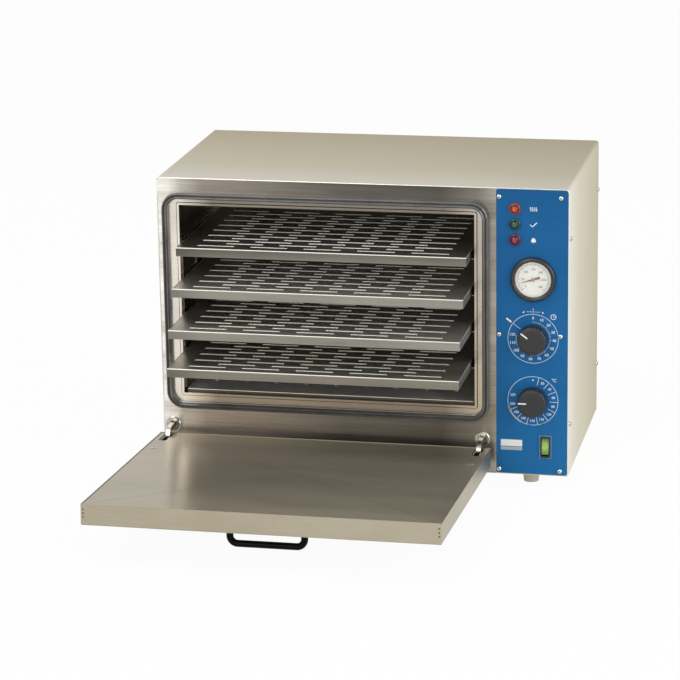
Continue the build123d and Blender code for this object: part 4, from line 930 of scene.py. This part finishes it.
dial_white = printing_ink("matt white dial enamel", "#f1f1ec")
dress(dial_white, "thermometer_dial")
dial_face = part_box("thermometer_dial")[0].y
black_ink = printing_ink("black printing ink", "#2b2b2e")
scale = bmesh.new()
gauge_start, gauge_sweep = 225, 270
for i in range(31):
    inner, width = (19, 0.35) if i % 5 else (17.6, 0.55)
    stroke(scale, spoke(gauge, gauge_start + gauge_sweep * i / 30, inner, 20.6), width, dial_face)
for i in range(7):
    numeral(scale, str(50 * i), 3, spoke(gauge, gauge_start + gauge_sweep * i / 6, 13.8)[0],
            dial_face)
stroke(scale, arc(gauge, 21, gauge_start, gauge_start + gauge_sweep, 60), 0.3, dial_face)
finish("thermometer_scale", scale, black_ink, "housing")

needle_paint = moulded("dark needle lacquer", "#3a2b24", 0.4)
dress(needle_paint, "thermometer_needle")
hub = turned([(0, -0.2), (2.6, -0.2), (2.6, 0.2), (2.2, 0.5), (0, 0.6)], 32,
             gauge[0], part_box("thermometer_needle")[0].y, gauge[1])
brass = plated("lacquered brass", "#b98d55", 0.3)
finish("needle_hub", hub, brass, "pointer")

glass = bpy.data.materials.new("clear gauge glass")
glass.use_nodes = True
glass_shader = glass.node_tree.nodes["Principled BSDF"]
glass_shader.inputs["Base Color"].default_value = linear("#ffffff")
glass_shader.inputs["Roughness"].default_value = 0.03
glass_shader.inputs["IOR"].default_value = 1.5
glass_shader.inputs["Alpha"].default_value = 0.06
dress(glass, "thermometer_glass")


# ---------------------------------------------------------------- pilot lamps
# Three neon pilot lamps snap into the panel. Each has a domed, ribbed lens of tinted
# polycarbonate in a thin collar of the same colour. Only what stands in front of the panel
# is drawn, without the barrels and the backs of the lenses.
def lamp_lens(name, deep, bright, glow, middle, reach):
    """Tinted polycarbonate, brighter in the middle where the neon sits behind it."""
    surface, tree, shader, place = blank(name)
    facets = add(tree, "ShaderNodeTexVoronoi", {"Scale": 420}, {"Vector": place})
    flat = add(tree, "ShaderNodeVectorMath", {"operation": "MULTIPLY", 1: (1, 0, 1)}, {0: place})
    away = add(tree, "ShaderNodeVectorMath",
               {"operation": "DISTANCE", 1: (middle[0], 0, middle[1])}, {0: flat.outputs[0]})
    fade = add(tree, "ShaderNodeMapRange", {"From Min": 0.2 * reach, "From Max": reach},
               {"Value": away.outputs["Value"]})
    depth = add(tree, "ShaderNodeMath", {"operation": "MULTIPLY_ADD", 1: 0.4},
                {0: facets.outputs["Distance"], 2: fade.outputs[0]})
    shade = add(tree, "ShaderNodeMix", {"data_type": "RGBA", 6: linear(bright), 7: linear(deep)},
                {0: depth.outputs[0]}).outputs[2]
    tree.links.new(shade, shader.inputs["Base Color"])
    shader.inputs["Roughness"].default_value = 0.12
    shader.inputs["IOR"].default_value = 1.58
    tree.links.new(shade, shader.inputs["Emission Color"])
    shader.inputs["Emission Strength"].default_value = glow
    return surface


lamp_outline = [(0, 0), (5.4, 0), (5.4, 3.1), (5.1, 3.6), (4.9, 4.3), (4.3, 5), (3.4, 5.55),
                (2.2, 5.9), (1, 6), (0, 6)]
collar_outline = [(5.5, 0), (8, 0), (8, 1), (7.6, 2), (6.8, 2.8), (6, 3), (5.5, 2.6), (5.5, 0)]


def lens_ribs(angle, step):
    """Eight shallow ribs on the side of a lens."""
    return 1 - (0.03 * (cos(8 * angle) > 0) if 3 <= step <= 7 else 0)


collars = []
for name, deep, bright, glow, ring in (
    ("heating_lamp_lens", "#5a160a", "#c8532c", 0.35, "#8e3a22"),
    ("ready_lamp_lens", "#052c22", "#1c6444", 0.05, "#0f4640"),
    ("alarm_lamp_lens", "#4a0a24", "#a82842", 0.12, "#5c1c3c"),
):
    use = name.split("_")[0]
    lens_x, lens_z = knob_middle(name)
    glowing = lamp_lens(f"tinted polycarbonate {use}", deep, bright, glow, (lens_x, lens_z),
                        4.6 * mm)
    dome = turned(lamp_outline, 48, lens_x, panel_face, lens_z, lens_ribs)
    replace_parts(finish(f"{name}_dome", dome, glowing, "housing", 25), name)
    collar = turned(collar_outline, 48, lens_x, panel_face, lens_z)
    shell = moulded(f"dark tinted collar {use}", ring, 0.3)
    collars.append(finish(f"{name}_collar", collar, shell, "housing", 40))
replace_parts(collars[0], "lamp_bezels")

# ---------------------------------------------------------------- rocker switch
# A lit green rocker in a black snap-in frame. The rocker is polished translucent
# polycarbonate, brightest in its middle, and a pale line is printed round the frame.
rocker_green = lamp_lens("lit green polycarbonate", "#3c6226", "#8fb653", 0.3,
                         knob_middle("rocker"), 13 * mm)
dress(rocker_green, "rocker")
rim = bmesh.new()
rim_middle = knob_middle("rocker_frame")
rim_x, rim_z = 7.6, 15.6
for side in (-1, 1):
    stroke(rim, around(rim_middle, (side * rim_x, -rim_z), (side * rim_x, rim_z)), 0.5)
    stroke(rim, around(rim_middle, (-rim_x, side * rim_z), (rim_x, side * rim_z)), 0.5)
finish("rocker_outline", rim, blue_ink, "housing")

# ---------------------------------------------------------------- feet
# Four tapered feet of pale moulded rubber stand under the base pan. They are matt and
# slightly dusty.
foot_rubber = moulded("pale moulded rubber", "#cfccc2", 0.75, 500, 0.3)
dress(foot_rubber, "feet")

# The shapes that were only lent to the repeats go.
for lender in (screw_head, cross_recess, slot_burr, hole_burr, spot_weld):
    bpy.data.objects.remove(lender)

# ---------------------------------------------------------------- studio
# A pale floor that runs out of sight, a bright room that metal and glass can mirror, and
# three large soft lamps: above left, in front and to the right.
floor_data = bpy.data.meshes.new("floor")
floor_reach = 30
floor_data.from_pydata([(x * floor_reach, y * floor_reach, 0) for x, y in (
    (-1, -1), (1, -1), (1, 1), (-1, 1))], [], [(0, 1, 2, 3)])
floor = bpy.data.objects.new("floor", floor_data)
bpy.context.scene.collection.objects.link(floor)
paper = bpy.data.materials.new("white paper")
paper.use_nodes = True
paper_tree = paper.node_tree
paper_tree.nodes.clear()
matt = add(paper_tree, "ShaderNodeBsdfDiffuse", {"Color": linear("#f4f4f4")})
plain = add(paper_tree, "ShaderNodeEmission", {"Color": linear("#ffffff"), "Strength": 1})
seen = add(paper_tree, "ShaderNodeLightPath")
# To the camera and in mirrors the paper is plain white, but for a small share of matt paper
# that takes a faint shadow.
white_share = 0.95
share = add(paper_tree, "ShaderNodeMath", {"operation": "MULTIPLY", 1: white_share})
viewed = add(paper_tree, "ShaderNodeMath", {"operation": "MAXIMUM"},
             {0: seen.outputs["Is Camera Ray"], 1: seen.outputs["Is Glossy Ray"]})
paper_tree.links.new(viewed.outputs[0], share.inputs[0])
cover = add(paper_tree, "ShaderNodeMixShader", links={
    0: share.outputs[0], 1: matt.outputs[0], 2: plain.outputs[0]})
add(paper_tree, "ShaderNodeOutputMaterial", links={"Surface": cover.outputs[0]})
floor_data.materials.append(paper)

room = bpy.data.worlds.new("room")
bpy.context.scene.world = room
room.use_nodes = True
room_tree = room.node_tree
room_tree.nodes.clear()
shown = add(room_tree, "ShaderNodeLightPath")
straight = add(room_tree, "ShaderNodeMath", {"operation": "MAXIMUM"},
               {0: shown.outputs["Is Camera Ray"], 1: shown.outputs["Is Transmission Ray"]})
mirrored = add(room_tree, "ShaderNodeMath", {"operation": "MAXIMUM"},
               {0: straight.outputs[0], 1: shown.outputs["Is Glossy Ray"]})
white_room = add(room_tree, "ShaderNodeBackground", {"Color": linear("#ffffff"), "Strength": 1})
soft_room = add(room_tree, "ShaderNodeBackground", {"Color": linear("#fbf8f0"), "Strength": 0.55})
room_mix = add(room_tree, "ShaderNodeMixShader", links={
    0: mirrored.outputs[0], 1: soft_room.outputs[0], 2: white_room.outputs[0]})
add(room_tree, "ShaderNodeOutputWorld", links={"Surface": room_mix.outputs[0]})

for name, at, size, power in (
    ("lamp above", (-1.6, -1.6, 3.2), 2.4, 45),
    ("lamp in front", (-1.2, -4.0, 1.8), 2.0, 34),
    ("lamp right", (3.2, -0.9, 1.5), 2.6, 68),
):
    light = bpy.data.lights.new(name, "AREA")
    light.shape = "SQUARE"
    light.size = size
    light.energy = power
    lamp = bpy.data.objects.new(name, light)
    aim = Vector((0, 0.1, 0.2)) - Vector(at)
    lamp.matrix_world = Matrix.Translation(at) @ aim.to_track_quat("-Z", "Y").to_matrix().to_4x4()
    bpy.context.scene.collection.objects.link(lamp)
